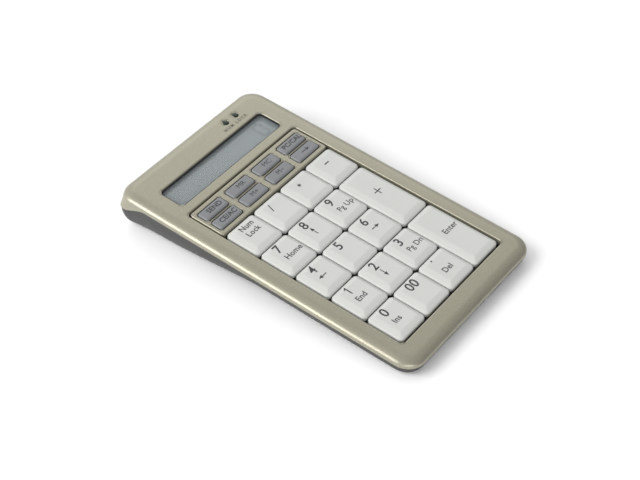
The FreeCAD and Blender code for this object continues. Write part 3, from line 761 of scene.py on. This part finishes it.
@dataclass(frozen=True)
class Letters:
    """A word: the height of its capitals and where it starts, from the middle of its cap."""

    text: str
    height: float
    x: float
    y: float
    centred: bool = False
    weight: float = 0.06
    spacing: float = 1.02

    def shape(self) -> tuple[Array, Array]:
        """The word's points in plan and its triangles, about its cap's middle.

        Returns:
            The points and the triangles.
        """
        curve = bpy.data.curves.new("word", "FONT")
        curve.body = self.text
        curve.align_x = "CENTER" if self.centred else "LEFT"
        curve.align_y = "CENTER"
        curve.resolution_u = 3
        curve.size = self.height / CAP_SHARE
        curve.offset = self.weight
        curve.space_character = self.spacing
        holder = bpy.data.objects.new("word", curve)
        mesh = bpy.data.meshes.new_from_object(holder)
        points = np.empty(len(mesh.vertices) * 3)
        mesh.vertices.foreach_get("co", points)
        mesh.calc_loop_triangles()
        faces = np.empty(len(mesh.loop_triangles) * 3, dtype=int)
        mesh.loop_triangles.foreach_get("vertices", faces)
        for data, store in ((holder, bpy.data.objects), (mesh, bpy.data.meshes), (curve, bpy.data.curves)):
            store.remove(data)
        return points.reshape(-1, 3)[:, :2] + (self.x, self.y), faces.reshape(-1, 3)


CAP_SHARE = 0.67    # height of a capital as a share of the font's size


@dataclass(frozen=True)
class Stroke:
    """A straight mark with square ends, from one point to another."""

    start: tuple[float, float]
    end: tuple[float, float]
    width: float = 0.42

    def shape(self) -> tuple[Array, Array]:
        """Two triangles whose long sides lie half the width to each side of the line.

        Returns:
            The points in plan and the triangles.
        """
        start, end = np.array(self.start), np.array(self.end)
        along = (end - start) / np.linalg.norm(end - start)
        side = np.array([-along[1], along[0]]) * self.width / 2
        points = np.array([start - side, end - side, end + side, start + side])
        return points, np.array([(0, 1, 2), (0, 2, 3)])


@dataclass(frozen=True)
class Arrow:
    """A thin arrow with a solid head."""

    way: Way
    x: float
    y: float
    length: float = 4.9
    head: float = 2.3

    def shape(self) -> tuple[Array, Array]:
        """A shaft and a notched head along X, turned by quarter turns.

        Returns:
            The points in plan and the triangles.
        """
        back, tip, thin = -self.length / 2, self.length / 2, 0.23
        neck = tip - self.head
        points = np.array([(back, -thin), (neck + 0.3, -thin), (neck + 0.3, thin), (back, thin),
                           (neck + 0.3, 0), (neck, -1.0), (tip, 0), (neck, 1.0)])
        faces = np.array([(0, 1, 2), (0, 2, 3), (4, 5, 6), (4, 6, 7)])
        angle = self.way.value * math.pi / 2
        cos, sin = math.cos(angle), math.sin(angle)
        return points @ np.array([[cos, sin], [-sin, cos]]) + (self.x, self.y), faces


Mark = Letters | Stroke | Arrow
PRINT_RISE = 0.03    # how far print stands proud of what it is on


def print_marks(name: str, marks: Sequence[Mark], x: float, y: float, surface: Surface) -> bpy.types.Object:
    """Prints marks on a surface, a few hundredths of a millimetre proud of it.

    Args:
        name: The new piece's name.
        marks: What is printed.
        x: The middle of the cap that it is printed on.
        y: The same along Y.
        surface: Gives the surface's height at points in plan.

    Returns:
        The piece.
    """
    skin = Skin(name)
    for mark in marks:
        plan, faces = mark.shape()
        plan = plan + (x, y)
        height = surface(plan[:, 0], plan[:, 1]) + PRINT_RISE
        skin.patch(np.column_stack([plan, height]), faces)
    return skin.build()


# ---------------------------------------------------------------- the two covers

def display_window() -> Outline:
    """The opening over the display, which the lens passes under all round."""
    lens = Outline.of_node("display_lens", 2.2, -1.4)
    return Outline(lens.x, lens.y, lens.width + 2.0, lens.length, lens.radius, 20, 6, 8)


MARGIN = 0.3    # the flat strip round an opening's rounded edge
CASE_STEPS = (24, 110, 16)    # both covers share them, so that their edges run alike


@dataclass
class Parting:
    """The line where the two covers meet: it runs level and drops round the display end."""

    depth: float = 3.4
    rear_depth: float = 8.3
    start: float = 145.0
    end: float = 158.5
    flare: float = 2.0

    def at(self, y: Array) -> Array:
        """The depth of the line below the cover's top: a smooth step from the first to the second."""
        return self.depth + (self.rear_depth - self.depth) * smooth_step(y, self.start, self.end)

    def corner(self, normal: Array) -> Array:
        """How far the line stands out at a rear corner: four times the squares of the normal's two shares."""
        rear = np.clip(normal[:, 1], 0, None)
        return self.flare * 4 * (normal[:, 0] * rear) ** 2


@dataclass
class TopCover:
    """The painted upper cover: a rolled edge, a flared side, and openings with rounded edges."""

    parting: Parting
    radius: float = 9.0
    roll_width: float = 5.2
    roll_depth: float = 2.4
    edge: float = 0.55
    wall: float = 0.9
    key_field: Outline = field(init=False)
    window: Outline = field(init=False)
    lights: list[Outline] = field(init=False)
    outline: Outline = field(init=False)

    def __post_init__(self) -> None:
        """Takes the outline and the openings from the CAD nodes."""
        self.outline = Outline.of_node("top_cover", self.radius, steps=CASE_STEPS)
        panel_low, panel_high = CASE.box("function_panel")
        left, right = panel_low[0] - 0.8, panel_high[0] + 0.8
        bottom, top = CASE.box("key_0")[0][1] - 1.45, panel_high[1] + 0.7
        self.key_field = Outline((left + right) / 2, (bottom + top) / 2, right - left, top - bottom, 2.0,
                                 30, 40, 8)
        self.window = display_window()
        low, high = CASE.box("indicator_lenses")
        radius = (high[1] - low[1]) / 2
        y = (low[1] + high[1]) / 2
        self.lights = [Outline(x, y, 3.2, 3.2, 1.6, 0, 0, 8) for x in (low[0] + radius, high[0] - radius)]

    def side(self) -> Array:
        """The rolled edge and the side, carried round the outline.

        The roll is a quarter of an ellipse: the inset falls with the sine of the turn and the depth
        grows with one less its cosine. Below it the side runs to the parting, and at the two rear
        corners it flares out with a power of its share of the way.

        Returns:
            A grid from the flat top outwards and down.
        """
        turn = np.radians(np.linspace(0, 90, 15))
        ring = self.outline.ring()
        line = self.parting.at(ring[:, 1])
        insets = np.concatenate([[self.roll_width + 0.4], self.roll_width * (1 - np.sin(turn)),
                                 np.zeros(5), [0.1, 0.55]])
        depths = np.concatenate([[0.0], self.roll_depth * (1 - np.cos(turn)), np.full(7, self.roll_depth)])
        share = np.concatenate([np.zeros(16), np.linspace(0, 1, 6)[1:], [1, 1]])[:, None]
        heights = depths[:, None] + share * (line - 0.1 - depths[:, None])
        heights[-2:] += 0.1
        flare = (heights / line) ** 1.3 * self.parting.corner(self.outline.ring(-1.0) - ring)
        return sweep(self.outline, insets[:, None] - flare, -heights)

    @staticmethod
    def opening(hole: Outline, edge: float, depth: float, top: float = 0.0) -> Array:
        """An opening's edge and wall: a flat margin, a quarter round and a straight wall.

        Args:
            hole: The opening.
            edge: The radius of its rounded edge.
            depth: How far down its wall goes.
            top: The height of the surface round it.

        Returns:
            A grid from the margin inwards and down.
        """
        way_in, down = quarter_round(edge)
        insets = np.concatenate([[-edge - MARGIN], -way_in, [0.0]])
        return sweep(hole, insets, top - np.concatenate([[0.0], down, [depth]]))

    def build(self) -> None:
        """Makes the cover as one skin with a wall inside it."""
        skin = Skin("painted_cover")
        side = self.side()
        skin.grid(side)
        openings = [(self.key_field, 3.2), (self.window, 1.4)] + [(light, 1.4) for light in self.lights]
        for hole, depth in openings:
            skin.grid(self.opening(hole, self.edge, depth), flip=True)
        skin.plate(level(0.0), side[0, :, :2], [hole for hole, depth in openings], self.edge + MARGIN)
        piece = skin.build(50.0)
        thicken(piece, self.wall)
        fit(piece, Finish.COVER, "case", "cover_plastic", "top_cover")


@dataclass
class BottomCover:
    """The lower cover: a hull that is shallow under the keys and deep under the display."""

    parting: Parting
    radius: float = 9.0
    gap: float = 0.45
    groove: float = 0.3
    thin_depth: float = 7.5
    thin_round: float = 1.6
    belly_round: float = 7.5
    rear_round: float = 2.6
    belly_start: float = 84.5
    belly_full: float = 127.5
    lift: float = 0.8
    wall: float = 1.2
    outline: Outline = field(init=False)

    def __post_init__(self) -> None:
        """Takes the outline from the top cover's box."""
        self.outline = Outline.of_node("top_cover", self.radius, steps=CASE_STEPS)

    def floor(self, y: Array) -> Array:
        """The hull's depth: level, then a ramp, then a height above the table, with soft bends between.

        Args:
            y: Places along the case.

        Returns:
            The depth at each, as a positive number.
        """
        belly = -CASE.table(y) - self.lift
        full = -CASE.table(np.array(self.belly_full)) - self.lift
        slope = (full - self.thin_depth) / (self.belly_full - self.belly_start)
        ramp = self.thin_depth + (y - self.belly_start) * slope
        bent = soft_max(np.full_like(y, self.thin_depth), ramp, 0.8)
        return -soft_max(-bent, -np.maximum(belly, self.thin_depth), 1.6)

    def hull(self) -> Array:
        """The hull's side: part of an ellipse from the parting down to the floor, carried round the outline.

        The inset grows by one less the cosine, and the depth by the sine. It is narrower at the rear,
        where the wall has to stand upright for the socket.

        Returns:
            A grid from inside the parting, down and then inwards under the floor.
        """
        ring = self.outline.ring()
        normal = self.outline.ring(-1.0) - ring
        line = self.parting.at(ring[:, 1]) + self.groove
        belly = np.clip((self.floor(ring[:, 1]) - self.thin_depth) / 11, 0, 1)
        bulge = self.thin_round + (self.belly_round - self.thin_round) * belly
        bulge += (self.rear_round - bulge) * np.clip(normal[:, 1], 0, 1) ** 2
        angle = np.linspace(0, math.pi / 2, 15)[:, None]
        insets = self.gap + bulge * (1 - np.cos(angle))
        top_insets = np.array([1.7, 1.7, self.gap + 0.12])[:, None] + 0 * line
        insets = np.concatenate([top_insets, insets, insets[-1:] + 0.4])
        share = np.concatenate([np.zeros((3, 1)), np.sin(angle), np.ones((1, 1))])
        insets = insets - (1 - share ** 2) * self.parting.corner(normal)
        grid = sweep(self.outline, insets, np.zeros(len(insets)))
        rise = np.zeros((len(insets), 1))
        rise[:3, 0] = 1.4, 0.06, 0.06
        grid[..., 2] = rise - line - share * (self.floor(grid[..., 1]) - line)
        return grid

    def build(self) -> None:
        """Makes the hull, gives it a wall, and cuts the screw seats and the socket's opening."""
        skin = Skin("moulded_base")
        side = self.hull()
        skin.grid(side)
        half, length = self.outline.width / 2 - 9.5, self.outline.length
        x, y = np.meshgrid(np.linspace(-half, half, 9), np.arange(4.0, length - 5, 1.6), indexing="ij")
        inner = np.column_stack([x.ravel(), y.ravel()])
        skin.plate(lambda x, y: -self.floor(y), side[-1, :, :2], between=inner, flip=True)
        piece = skin.build(50.0)
        thicken(piece, self.wall)
        cut(piece, self.cutters())
        fit(piece, Finish.BASE, "case", "base_plastic", "bottom_cover")

    def cutters(self) -> list[bpy.types.Object]:
        """The solids of the six screw seats and of the socket's opening.

        Returns:
            The solids.
        """
        tools = []
        for index, (x, y, top) in enumerate(SCREW_SEATS):
            skin = Skin(f"seat_{index}")
            radii = SEAT_RADIUS * np.array([0, 1, 1, 0])
            skin.grid(revolve(x, y, radii, np.array([top, top, SEAT_END, SEAT_END]), 24))
            tools.append(skin.build())
        low, high = CASE.box("usb_socket")
        hole = Outline((low[0] + high[0]) / 2, low[2] + SOCKET_HEIGHT / 2, SOCKET_WIDTH + 0.4,
                       SOCKET_HEIGHT + 0.4, 0.6, 2, 2, 4)
        skin = Skin("socket_hole")
        rings = np.stack([hole.ring(), hole.ring()])
        depth = np.array([high[1] - 3, high[1] + 6])
        ways = np.repeat(depth[:, None], rings.shape[1], axis=1)
        tube = np.stack([rings[..., 0], ways, rings[..., 1]], axis=-1)
        skin.grid(tube)
        for row, turned in ((tube[0], False), (tube[1], True)):
            skin.grid(fill(row, hole.steps), closed=False, flip=turned)
        tools.append(skin.build())
        return tools


SCREW_SEATS = [(-40.5, 7.3, -6.2), (40.5, 7.3, -6.2), (-42.3, 62.5, -6.2), (42.3, 62.5, -6.2),
               (-40.3, 139.5, -10.5), (40.3, 139.5, -10.5)]
SEAT_RADIUS = 2.15
SEAT_END = -24.0    # well below the hull, so that a seat is cut right through it
SOCKET_HEIGHT = 4.0
SOCKET_WIDTH = 7.7


# ---------------------------------------------------------------- keys

DIGIT = 4.5
WORD = 2.75
LEFT = -3.2
REAR_ROW = 5.2
MIDDLE_ROW = -0.8


def digit(text: str, weight: float = 0.09) -> Letters:
    """A key's digit, in its rear row."""
    return Letters(text, DIGIT, LEFT, REAR_ROW, weight=weight)


def word(text: str, x: float = LEFT, weight: float = 0.06) -> Letters:
    """A key's word, in its middle row."""
    return Letters(text, WORD, x, MIDDLE_ROW, weight=weight)


KEY_MARKS: dict[str, list[Mark]] = {
    "0": [digit("0"), word("Ins")],
    "00": [digit("00")],
    "decimal": [Stroke((-1.8, 6.4), (-1.8, 7.2), 0.8), word("Del")],
    "1": [Stroke((-1.2, 3.1), (-1.2, 7.6), 0.62), Stroke((-1.2, 7.35), (-2.3, 6.6), 0.55),
          word("End")],
    "2": [digit("2"), Arrow(Way.DOWN, -1.1, -0.2)],
    "3": [digit("3"), word("Pg Dn", LEFT + 0.4, 0.03)],
    "4": [digit("4", 0.05), Arrow(Way.LEFT, -1.1, 0.0)],
    "5": [digit("5")],
    "6": [digit("6"), Arrow(Way.RIGHT, 0.0, 0.0)],
    "7": [digit("7"), word("Home")],
    "8": [digit("8"), Arrow(Way.UP, -0.9, 0.2)],
    "9": [digit("9"), word("Pg Up", LEFT + 0.4, 0.03)],
    "num_lock": [Letters("Num", WORD, -3.4, 5.6), Letters("Lock", WORD, -3.4, 1.4)],
    "divide": [Stroke((-2.8, 2.1), (-1.6, 6.4), 0.48)],
    "multiply": [Stroke((-1.2, 2.6), (-1.2, 4.6)), Stroke((-2.07, 3.1), (-0.33, 4.1)),
                 Stroke((-2.07, 4.1), (-0.33, 3.1))],
    "minus": [Stroke((-1.7, 3.0), (1.3, 3.0), 0.6)],
    "plus": [Stroke((-2.0, 2.9), (2.4, 2.9), 0.55), Stroke((0.2, 0.7), (0.2, 5.1), 0.55)],
    "enter": [Letters("Enter", WORD, 1.9, 2.6, True)],
}


@dataclass
class Keycap:
    """A hollow keycap: a slightly dished top, a broad soft shoulder and a straight skirt."""

    key: str
    finish: Finish = Finish.KEY
    slot: str = "key_plastic"
    radius: float = 2.1
    grown: float = 0.2
    dish: float = 0.12
    wall: float = 0.9
    insets: tuple[float, ...] = (3.1, 2.7, 2.45, 1.6, 0.8, 0.42, 0.16, 0.03, 0.0, 0.0, 0.1)
    depths: tuple[float, ...] = (0.0, 0.02, 0.08, 0.34, 0.6, 0.77, 1.0, 1.3, 1.6, 2.95, 3.1)
    drift: tuple[float, float] = (0.9, 0.55)
    prefix: str = "key"
    outline: Outline = field(init=False)
    top: float = field(init=False)

    def __post_init__(self) -> None:
        """Takes the cap's outline and height from its CAD node."""
        self.outline = Outline.of_node(f"{self.prefix}_{self.key}", self.radius, self.grown)
        self.top = float(CASE.box(f"{self.prefix}_{self.key}")[1][2])

    def surface(self, x: Array, y: Array) -> Array:
        """The top's height: it dips by the dish in the middle, as one less the square of each share.

        Args:
            x: Places across the cap.
            y: Places along it.

        Returns:
            The height at each.
        """
        inset = self.insets[0]
        across = np.clip((x - self.outline.x - self.drift[0]) / (self.outline.width / 2 - inset), -1, 1)
        along = np.clip((y - self.outline.y - self.drift[1]) / (self.outline.length / 2 - inset), -1, 1)
        return self.top - self.dish * (1 - across * across) * (1 - along * along)

    def build(self, marks: Sequence[Mark]) -> None:
        """Makes the cap and what is printed on it.

        Args:
            marks: What is printed.
        """
        body = f"{self.prefix}_{self.key}"
        skin = Skin(f"cap_{self.key}")
        side = sweep(self.outline, np.array(self.insets), self.top - np.array(self.depths), self.drift)
        skin.grid(side)
        crown = fill(side[0], self.outline.steps)
        crown[..., 2] = self.surface(crown[..., 0], crown[..., 1])
        skin.grid(crown, closed=False)
        piece = skin.build(60.0)
        thicken(piece, self.wall)
        fit(piece, self.finish, body, self.slot, body)
        legend = print_marks(f"legend_{self.key}", marks, self.outline.x, self.outline.y, self.surface)
        fit(legend, Finish.INK, body, self.slot)


@dataclass
class KeyLift:
    """What moves under a keycap: the scissor links and the rubber dome."""

    key: str
    sheet_top: float = -4.8

    def build(self) -> None:
        """Makes the links and a dome, both fixed to the case."""
        low, high = CASE.box(f"key_{self.key}")
        x, y = (low[:2] + high[:2]) / 2
        anchor = tuple(CASE.place(np.array([x, y, self.sheet_top])))
        axis = tuple(CASE.turn[:, 2])
        node = frame["nodes"][f"scissor_{self.key}"]
        mesh = join_doubles(node.data.copy())
        mesh.name = f"links_{self.key}"
        links = new_piece(f"links_{self.key}", mesh, 30.0)
        fit(links, Finish.LINK, "case", "link_plastic", node.name)
        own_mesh(links)
        skin = Skin(f"dome_{self.key}")
        skin.grid(revolve(x, y, *self.profile(), 28), flip=True)
        dome = skin.build()
        fit(dome, Finish.RUBBER, "case", "rubber")
        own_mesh(dome)

    def profile(self) -> tuple[Array, Array]:
        """A dome's section: out over the top, down the skirt, and back up inside.

        Returns:
            The radii and the heights.
        """
        radii = np.array([0.0, 1.5, 1.75, 1.85, 2.2, 2.8, 3.2, 3.35, 2.7, 2.3, 1.8, 1.4, 1.2, 0.0])
        rise = np.array([3.25, 3.25, 3.15, 2.9, 2.2, 0.7, 0.2, 0.02, 0.02, 0.6, 2.0, 2.5, 2.6, 2.6])
        return radii, self.sheet_top + rise


# ---------------------------------------------------------------- function panel and display

BUTTON_WORD = 2.5


def button_word(text: str, x: float, y: float, weight: float = 0.085) -> Letters:
    """A button's word, centred on a point."""
    return Letters(text, BUTTON_WORD, x, y, True, weight)


BUTTON_MARKS: dict[str, list[Mark]] = {
    "clear": [button_word("CE/AC", 0.9, 0.2)],
    "memory_add": [button_word("M+", 0.9, 0.2, 0.0)],
    "memory_subtract": [button_word("M", -0.3, 0.2, 0.0), Stroke((1.5, 0.2), (3.0, 0.2), 0.4)],
    "arrow": [Arrow(Way.RIGHT, 0.7, 0.2, 5.4, 2.1)],
    "send": [button_word("SEND", 1.0, 0.3)],
    "memory_recall": [button_word("MR", 0.9, 0.3, 0.0)],
    "memory_clear": [button_word("MC", 0.9, 0.3, 0.0)],
    "mode": [button_word("PC/CAL", 0.7, 0.3)],
}


@dataclass
class FunctionButton(Keycap):
    """A small button with a rounded edge."""

    finish: Finish = Finish.BUTTON
    slot: str = "button_plastic"
    radius: float = 1.1
    grown: float = 0.0
    dish: float = 0.04
    wall: float = 0.6
    insets: tuple[float, ...] = (1.3, 0.95, 0.6, 0.32, 0.12, 0.02, 0.0, 0.0, 0.06)
    depths: tuple[float, ...] = (0.0, 0.03, 0.1, 0.22, 0.4, 0.6, 0.8, 2.6, 2.7)
    drift: tuple[float, float] = (0.25, 0.2)
    prefix: str = "button"


@dataclass
class FunctionPanel:
    """The painted insert behind the keys, with a rounded opening for each button."""

    radius: float = 1.6
    edge: float = 0.6
    hole_edge: float = 0.25
    gap: float = 0.5
    depth: float = 4.6
    wall: float = 0.8

    def build(self) -> None:
        """Makes the insert as one skin with a wall inside it."""
        outline = Outline.of_node("function_panel", self.radius, steps=(40, 12, 8))
        top = float(CASE.box("function_panel")[1][2])
        way_in, down = quarter_round(self.edge)
        insets = np.concatenate([[self.edge + MARGIN], way_in, [0.0]])
        heights = top - np.concatenate([[0.0], down, [self.depth]])
        skin = Skin("button_panel")
        skin.grid(sweep(outline, insets, heights))
        holes = [Outline.of_node(f"button_{name}", 1.6, self.gap) for name in BUTTON_MARKS]
        for hole in holes:
            skin.grid(TopCover.opening(hole, self.hole_edge, 1.2, top), flip=True)
        skin.plate(level(top), outline.ring(self.edge + MARGIN), holes, self.hole_edge + MARGIN)
        piece = skin.build(50.0)
        thicken(piece, self.wall)
        fit(piece, Finish.COVER, "case", "cover_plastic", "function_panel")


@dataclass
class ButtonMat:
    """The rubber mat under the buttons, with a dome under each."""

    keep: float = 0.62

    def build(self) -> None:
        """Makes the mat's sheet and its domes."""
        low, high = CASE.box("button_mat")
        outline = Outline.of_node("button_mat", 1.0)
        top = low[2] + 0.8
        skin = Skin("mat_sheet")
        heights = np.array([top, top - 0.06, top - 0.25, low[2]])
        side = sweep(outline, np.array([0.25, 0.07, 0.0, 0.0]), heights)
        skin.grid(side)
        skin.grid(fill(side[0], outline.steps), closed=False)
        skin.grid(fill(side[-1], outline.steps), closed=False, flip=True)
        fit(skin.build(), Finish.RUBBER, "case", "rubber", "button_mat")
        rise = high[2] - top
        for name in BUTTON_MARKS:
            button = Outline.of_node(f"button_{name}", 1.0)
            skin = Skin(f"mat_dome_{name}")
            radii = np.array([0.0, 1.6, 1.9, 2.05, 2.3, 2.6, 0.0])
            shares = np.array([1.0, 1.0, 0.93, 0.75, 0.2, 0.0, 0.0])
            skin.grid(revolve(button.x, button.y, radii, top + rise * shares, 24), flip=True)
            dome = fit(skin.build(), Finish.RUBBER, "case", "rubber")
            anchor = CASE.place(np.array([button.x, button.y, top]))
            tuple(CASE.turn[:, 2])
            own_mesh(dome)


@dataclass
class Display:
    """What shows in the display window: a dark lining that paints the shade of the window's recess, the
    panel's glass and a faint resting digit.
    """

    shade_lining_top: float = -0.5
    shade_lining_depth: float = 0.95
    digit_height: float = 8.0
    digit_width: float = 4.6
    digit_x: float = 29.0
    stroke: float = 0.75

    def build(self) -> None:
        """Makes the lining of painted shade and the digit, and dresses the lens and the glass."""
        window = display_window()
        # the lining is painted shade: a dark band down the window's walls, where the recess is shaded
        insets = np.array([0.03, 0.03, 0.3, 0.3, 0.03])
        low = self.shade_lining_top - self.shade_lining_depth
        heights = np.array([low, self.shade_lining_top, self.shade_lining_top, low, low])
        skin = Skin("window_lining")
        skin.grid(sweep(window, insets, heights), flip=True)
        fit(skin.build(), Finish.MASK, "case", "cover_plastic")
        glass = CASE.box("lcd_panel")[1]
        resting = print_marks("resting_digit", self.segments(), self.digit_x, window.y, level(glass[2]))
        fit(resting, Finish.SEGMENT, "case", "display_glass")
        dress(frame["nodes"]["display_lens"], Finish.LENS)
        # the glass's finish paints a gradient of light, lighter towards the right end
        dress(frame["nodes"]["lcd_panel"], Finish.GLASS)

    def segments(self) -> list[Mark]:
        """The six outer bars of a seven-bar digit, with small gaps between them.

        Returns:
            A stroke for each bar's half or whole.
        """
        half, tall, gap = self.digit_width / 2, self.digit_height / 2, 0.45
        upright = [((side * half, start * gap), (side * half, start * (tall - gap)))
                   for side in (-1, 1) for start in (-1, 1)]
        across = [((gap - half, end * tall), (half - gap, end * tall)) for end in (-1, 1)]
        return [Stroke(start, end, self.stroke) for start, end in upright + across]


@dataclass
class Indicators:
    """Two dark lenses that stand in the cover, and the small label in front of them."""

    radius: float = 1.5
    bulge: float = 0.35

    def build(self) -> None:
        """Makes the two domed lenses as one piece, and prints the label."""
        low, high = CASE.box("indicator_lenses")
        reach = (high[1] - low[1]) / 2
        y = (low[1] + high[1]) / 2
        turn = np.linspace(0, math.pi / 2, 7)
        radii = np.concatenate([self.radius * np.sin(turn), [self.radius, reach, reach, 0.0]])
        flange = low[2] + 0.8
        dome = high[2] - self.bulge * (1 - np.cos(turn))
        heights = np.concatenate([dome, [flange, flange, low[2], low[2]]])
        skin = Skin("indicator_domes")
        for x in (low[0] + reach, high[0] - reach):
            skin.grid(revolve(x, y, radii, heights), flip=True)
        fit(skin.build(), Finish.INDICATOR, "case", "indicator", "indicator_lenses")
        middle = (low[0] + high[0]) / 2
        words = Letters("NUM LOCK", 1.55, 0, 0, True, 0.05, 1.5)
        label = print_marks("indicator_label", [words], middle - 0.6, y - 3.9, level(0.0))
        fit(label, Finish.FAINT_INK, "case", "cover_plastic")


# ---------------------------------------------------------------- inside and underneath

@dataclass
class Underside:
    """Four rubber feet with a raised rim, standing where the CAD feet stand."""

    def build(self) -> None:
        """Makes each foot: a rounded pad with a shallow hollow in the face that it stands on."""
        radii = np.array([0.0, 3.4, 3.7, 4.1, 4.38, 4.5, 4.5, 0.0])
        for index, (x, y, rise) in enumerate(FEET):
            heights = np.array([0.25, 0.25, 0.05, 0.0, 0.08, 0.35, rise, rise])
            grid = revolve(x, y, radii, heights, 40)
            skin = Skin(f"foot_{index + 1}")
            skin.grid(self.upright(grid))
            nodes = ["rubber_feet"] if index == 0 else []
            fit(skin.build(), Finish.FOOT, "case", "foot", *nodes)

    @staticmethod
    def upright(grid: Array) -> Array:
        """Turns points given above the table, in the part's frame, into the case's frame."""
        points = grid.reshape(-1, 3) - CASE.origin / MM
        return (points @ CASE.turn).reshape(grid.shape)


FEET = [(-32.0, -64.86, 1.95), (32.0, -64.86, 1.95), (-30.0, 62.5, 1.1), (30.0, 62.5, 1.1)]


@dataclass(frozen=True)
class Fittings:
    """The CAD nodes that show as they are, by the finish of each."""

    finishes: tuple[tuple[str, Finish], ...] = (
        ("key_plate", Finish.STEEL), ("membrane_circuit", Finish.FILM), ("circuit_board", Finish.BOARD),
        ("board_components", Finish.COMPONENT), ("usb_socket", Finish.STEEL), ("case_screws", Finish.SCREW),
        ("elastomer_strips", Finish.RUBBER))

    def build(self) -> None:
        """Dresses them, and lays the dome sheet's flat part."""
        for node, finish in self.finishes:
            dress(frame["nodes"][node], finish)
            LOG.info("%s is dressed", node)
        base = CASE.box("membrane_circuit")[1][2]
        outline = Outline.of_node("key_plate", 1.0)
        heights = base + np.array([0.2, 0.17, 0.0])
        skin = Skin("dome_base")
        side = sweep(outline, np.array([0.1, 0.0, 0.0]), heights)
        skin.grid(side)
        skin.grid(fill(side[0], outline.steps), closed=False)
        skin.grid(fill(side[-1], outline.steps), closed=False, flip=True)
        fit(skin.build(), Finish.RUBBER, "case", "rubber", "dome_sheet")


# ---------------------------------------------------------------- studio

@dataclass(frozen=True)
class Lamp:
    """A soft rectangular lamp that faces a point."""

    name: str
    place: tuple[float, float, float]
    size: tuple[float, float]
    power: float
    target: tuple[float, float, float] = (0.0, 0.0, 0.01)

    def build(self) -> None:
        """Hangs the lamp."""
        data = bpy.data.lights.new(self.name, "AREA")
        data.shape = "RECTANGLE"
        data.size, data.size_y = self.size
        data.energy = self.power
        lamp = bpy.data.objects.new(self.name, data)
        lamp.location = self.place
        lamp.rotation_euler = (Vector(self.target) - Vector(self.place)).to_track_quat("-Z", "Y").to_euler()
        bpy.context.scene.collection.objects.link(lamp)


@dataclass
class Studio:
    """A pale floor, soft lamps and the camera, which looks down on the front left corner."""

    azimuth: float = -53.286
    elevation: float = 43.051
    distance: float = 707.97
    target: tuple[float, float, float] = (-9.447, -4.827, 10.04)
    lens: float = 90.0
    bright_side: tuple[float, float, float] = (-0.5, 0.8, -0.1)
    lamps: tuple[Lamp, ...] = (
        Lamp("key_lamp", (-0.98, 0.66, 0.98), (0.9, 0.85), 13.0),
        Lamp("front_lamp", (-0.85, -1.0, 0.6), (0.9, 0.7), 6.0),
        Lamp("rear_lamp", (1.0, 0.72, 0.84), (1.0, 0.7), 2.0),
    )

    def build(self) -> None:
        """Makes the floor, the lamps, the soft light all round and the camera."""
        self.build_floor()
        for lamp in self.lamps:
            lamp.build()
        world = bpy.data.worlds.new("soft_room")
        world.use_nodes = True
        tree = world.node_tree
        light = tree.nodes["Background"].inputs
        light["Color"].default_value = (1.0, 1.0, 1.0, 1.0)
        facing = tree.nodes.new("ShaderNodeVectorMath")
        facing.operation = "DOT_PRODUCT"
        facing.inputs[1].default_value = self.bright_side
        tree.links.new(tree.nodes.new("ShaderNodeTexCoord").outputs["Generated"], facing.inputs[0])
        share = spread(tree, facing.outputs["Value"], -1.0, 1.0)
        tree.links.new(arithmetic(tree, "MULTIPLY_ADD", share, 1.0, 0.25), light["Strength"])
        bpy.context.scene.world = world
        bpy.context.scene.view_settings.view_transform = "Standard"
        self.build_camera()

    def build_floor(self) -> None:
        """A wide flat sheet that the keypad stands on."""
        line = np.linspace(-2.5, 2.5, 11)
        x, y = np.meshgrid(line, line, indexing="ij")
        points = np.stack([x, y, np.full_like(x, -0.0001)], axis=-1).reshape(-1, 3)
        index = np.arange(121).reshape(11, 11)
        quads = np.stack([index[:-1, :-1], index[1:, :-1], index[1:, 1:], index[:-1, 1:]], axis=-1)
        mesh = bpy.data.meshes.new("floor")
        mesh.from_pydata(points, [], quads.reshape(-1, 4).tolist())
        floor = new_piece("floor", mesh)
        dress(floor, Finish.FLOOR)

    def build_camera(self) -> None:
        """Stands the camera off the target along its azimuth and elevation."""
        azimuth, elevation = math.radians(self.azimuth), math.radians(self.elevation)
        away = Vector((math.sin(azimuth) * math.cos(elevation), -math.cos(azimuth) * math.cos(elevation),
                       math.sin(elevation)))
        data = bpy.data.cameras.new("camera")
        data.lens = self.lens
        data.sensor_width = 36.0
        data.clip_start = 0.01
        camera = bpy.data.objects.new("camera", data)
        camera.location = (Vector(self.target) + away * self.distance) * MM
        camera.rotation_euler = (-away).to_track_quat("-Z", "Y").to_euler()
        bpy.context.scene.collection.objects.link(camera)
        bpy.context.scene.camera = camera


# ---------------------------------------------------------------- the whole keypad


def main() -> None:
    """Builds every sub-assembly, and then the studio."""
    parting = Parting()
    TopCover(parting).build()
    BottomCover(parting).build()
    for key, marks in KEY_MARKS.items():
        Keycap(key).build(marks)
        KeyLift(key).build()
    FunctionPanel().build()
    for name, marks in BUTTON_MARKS.items():
        FunctionButton(name).build(marks)
    ButtonMat().build()
    Display().build()
    Indicators().build()
    Underside().build()
    Fittings().build()
    Studio().build()


if __name__ == "__main__":
    logging.basicConfig(level=logging.INFO, format="%(name)s: %(message)s")
    main()
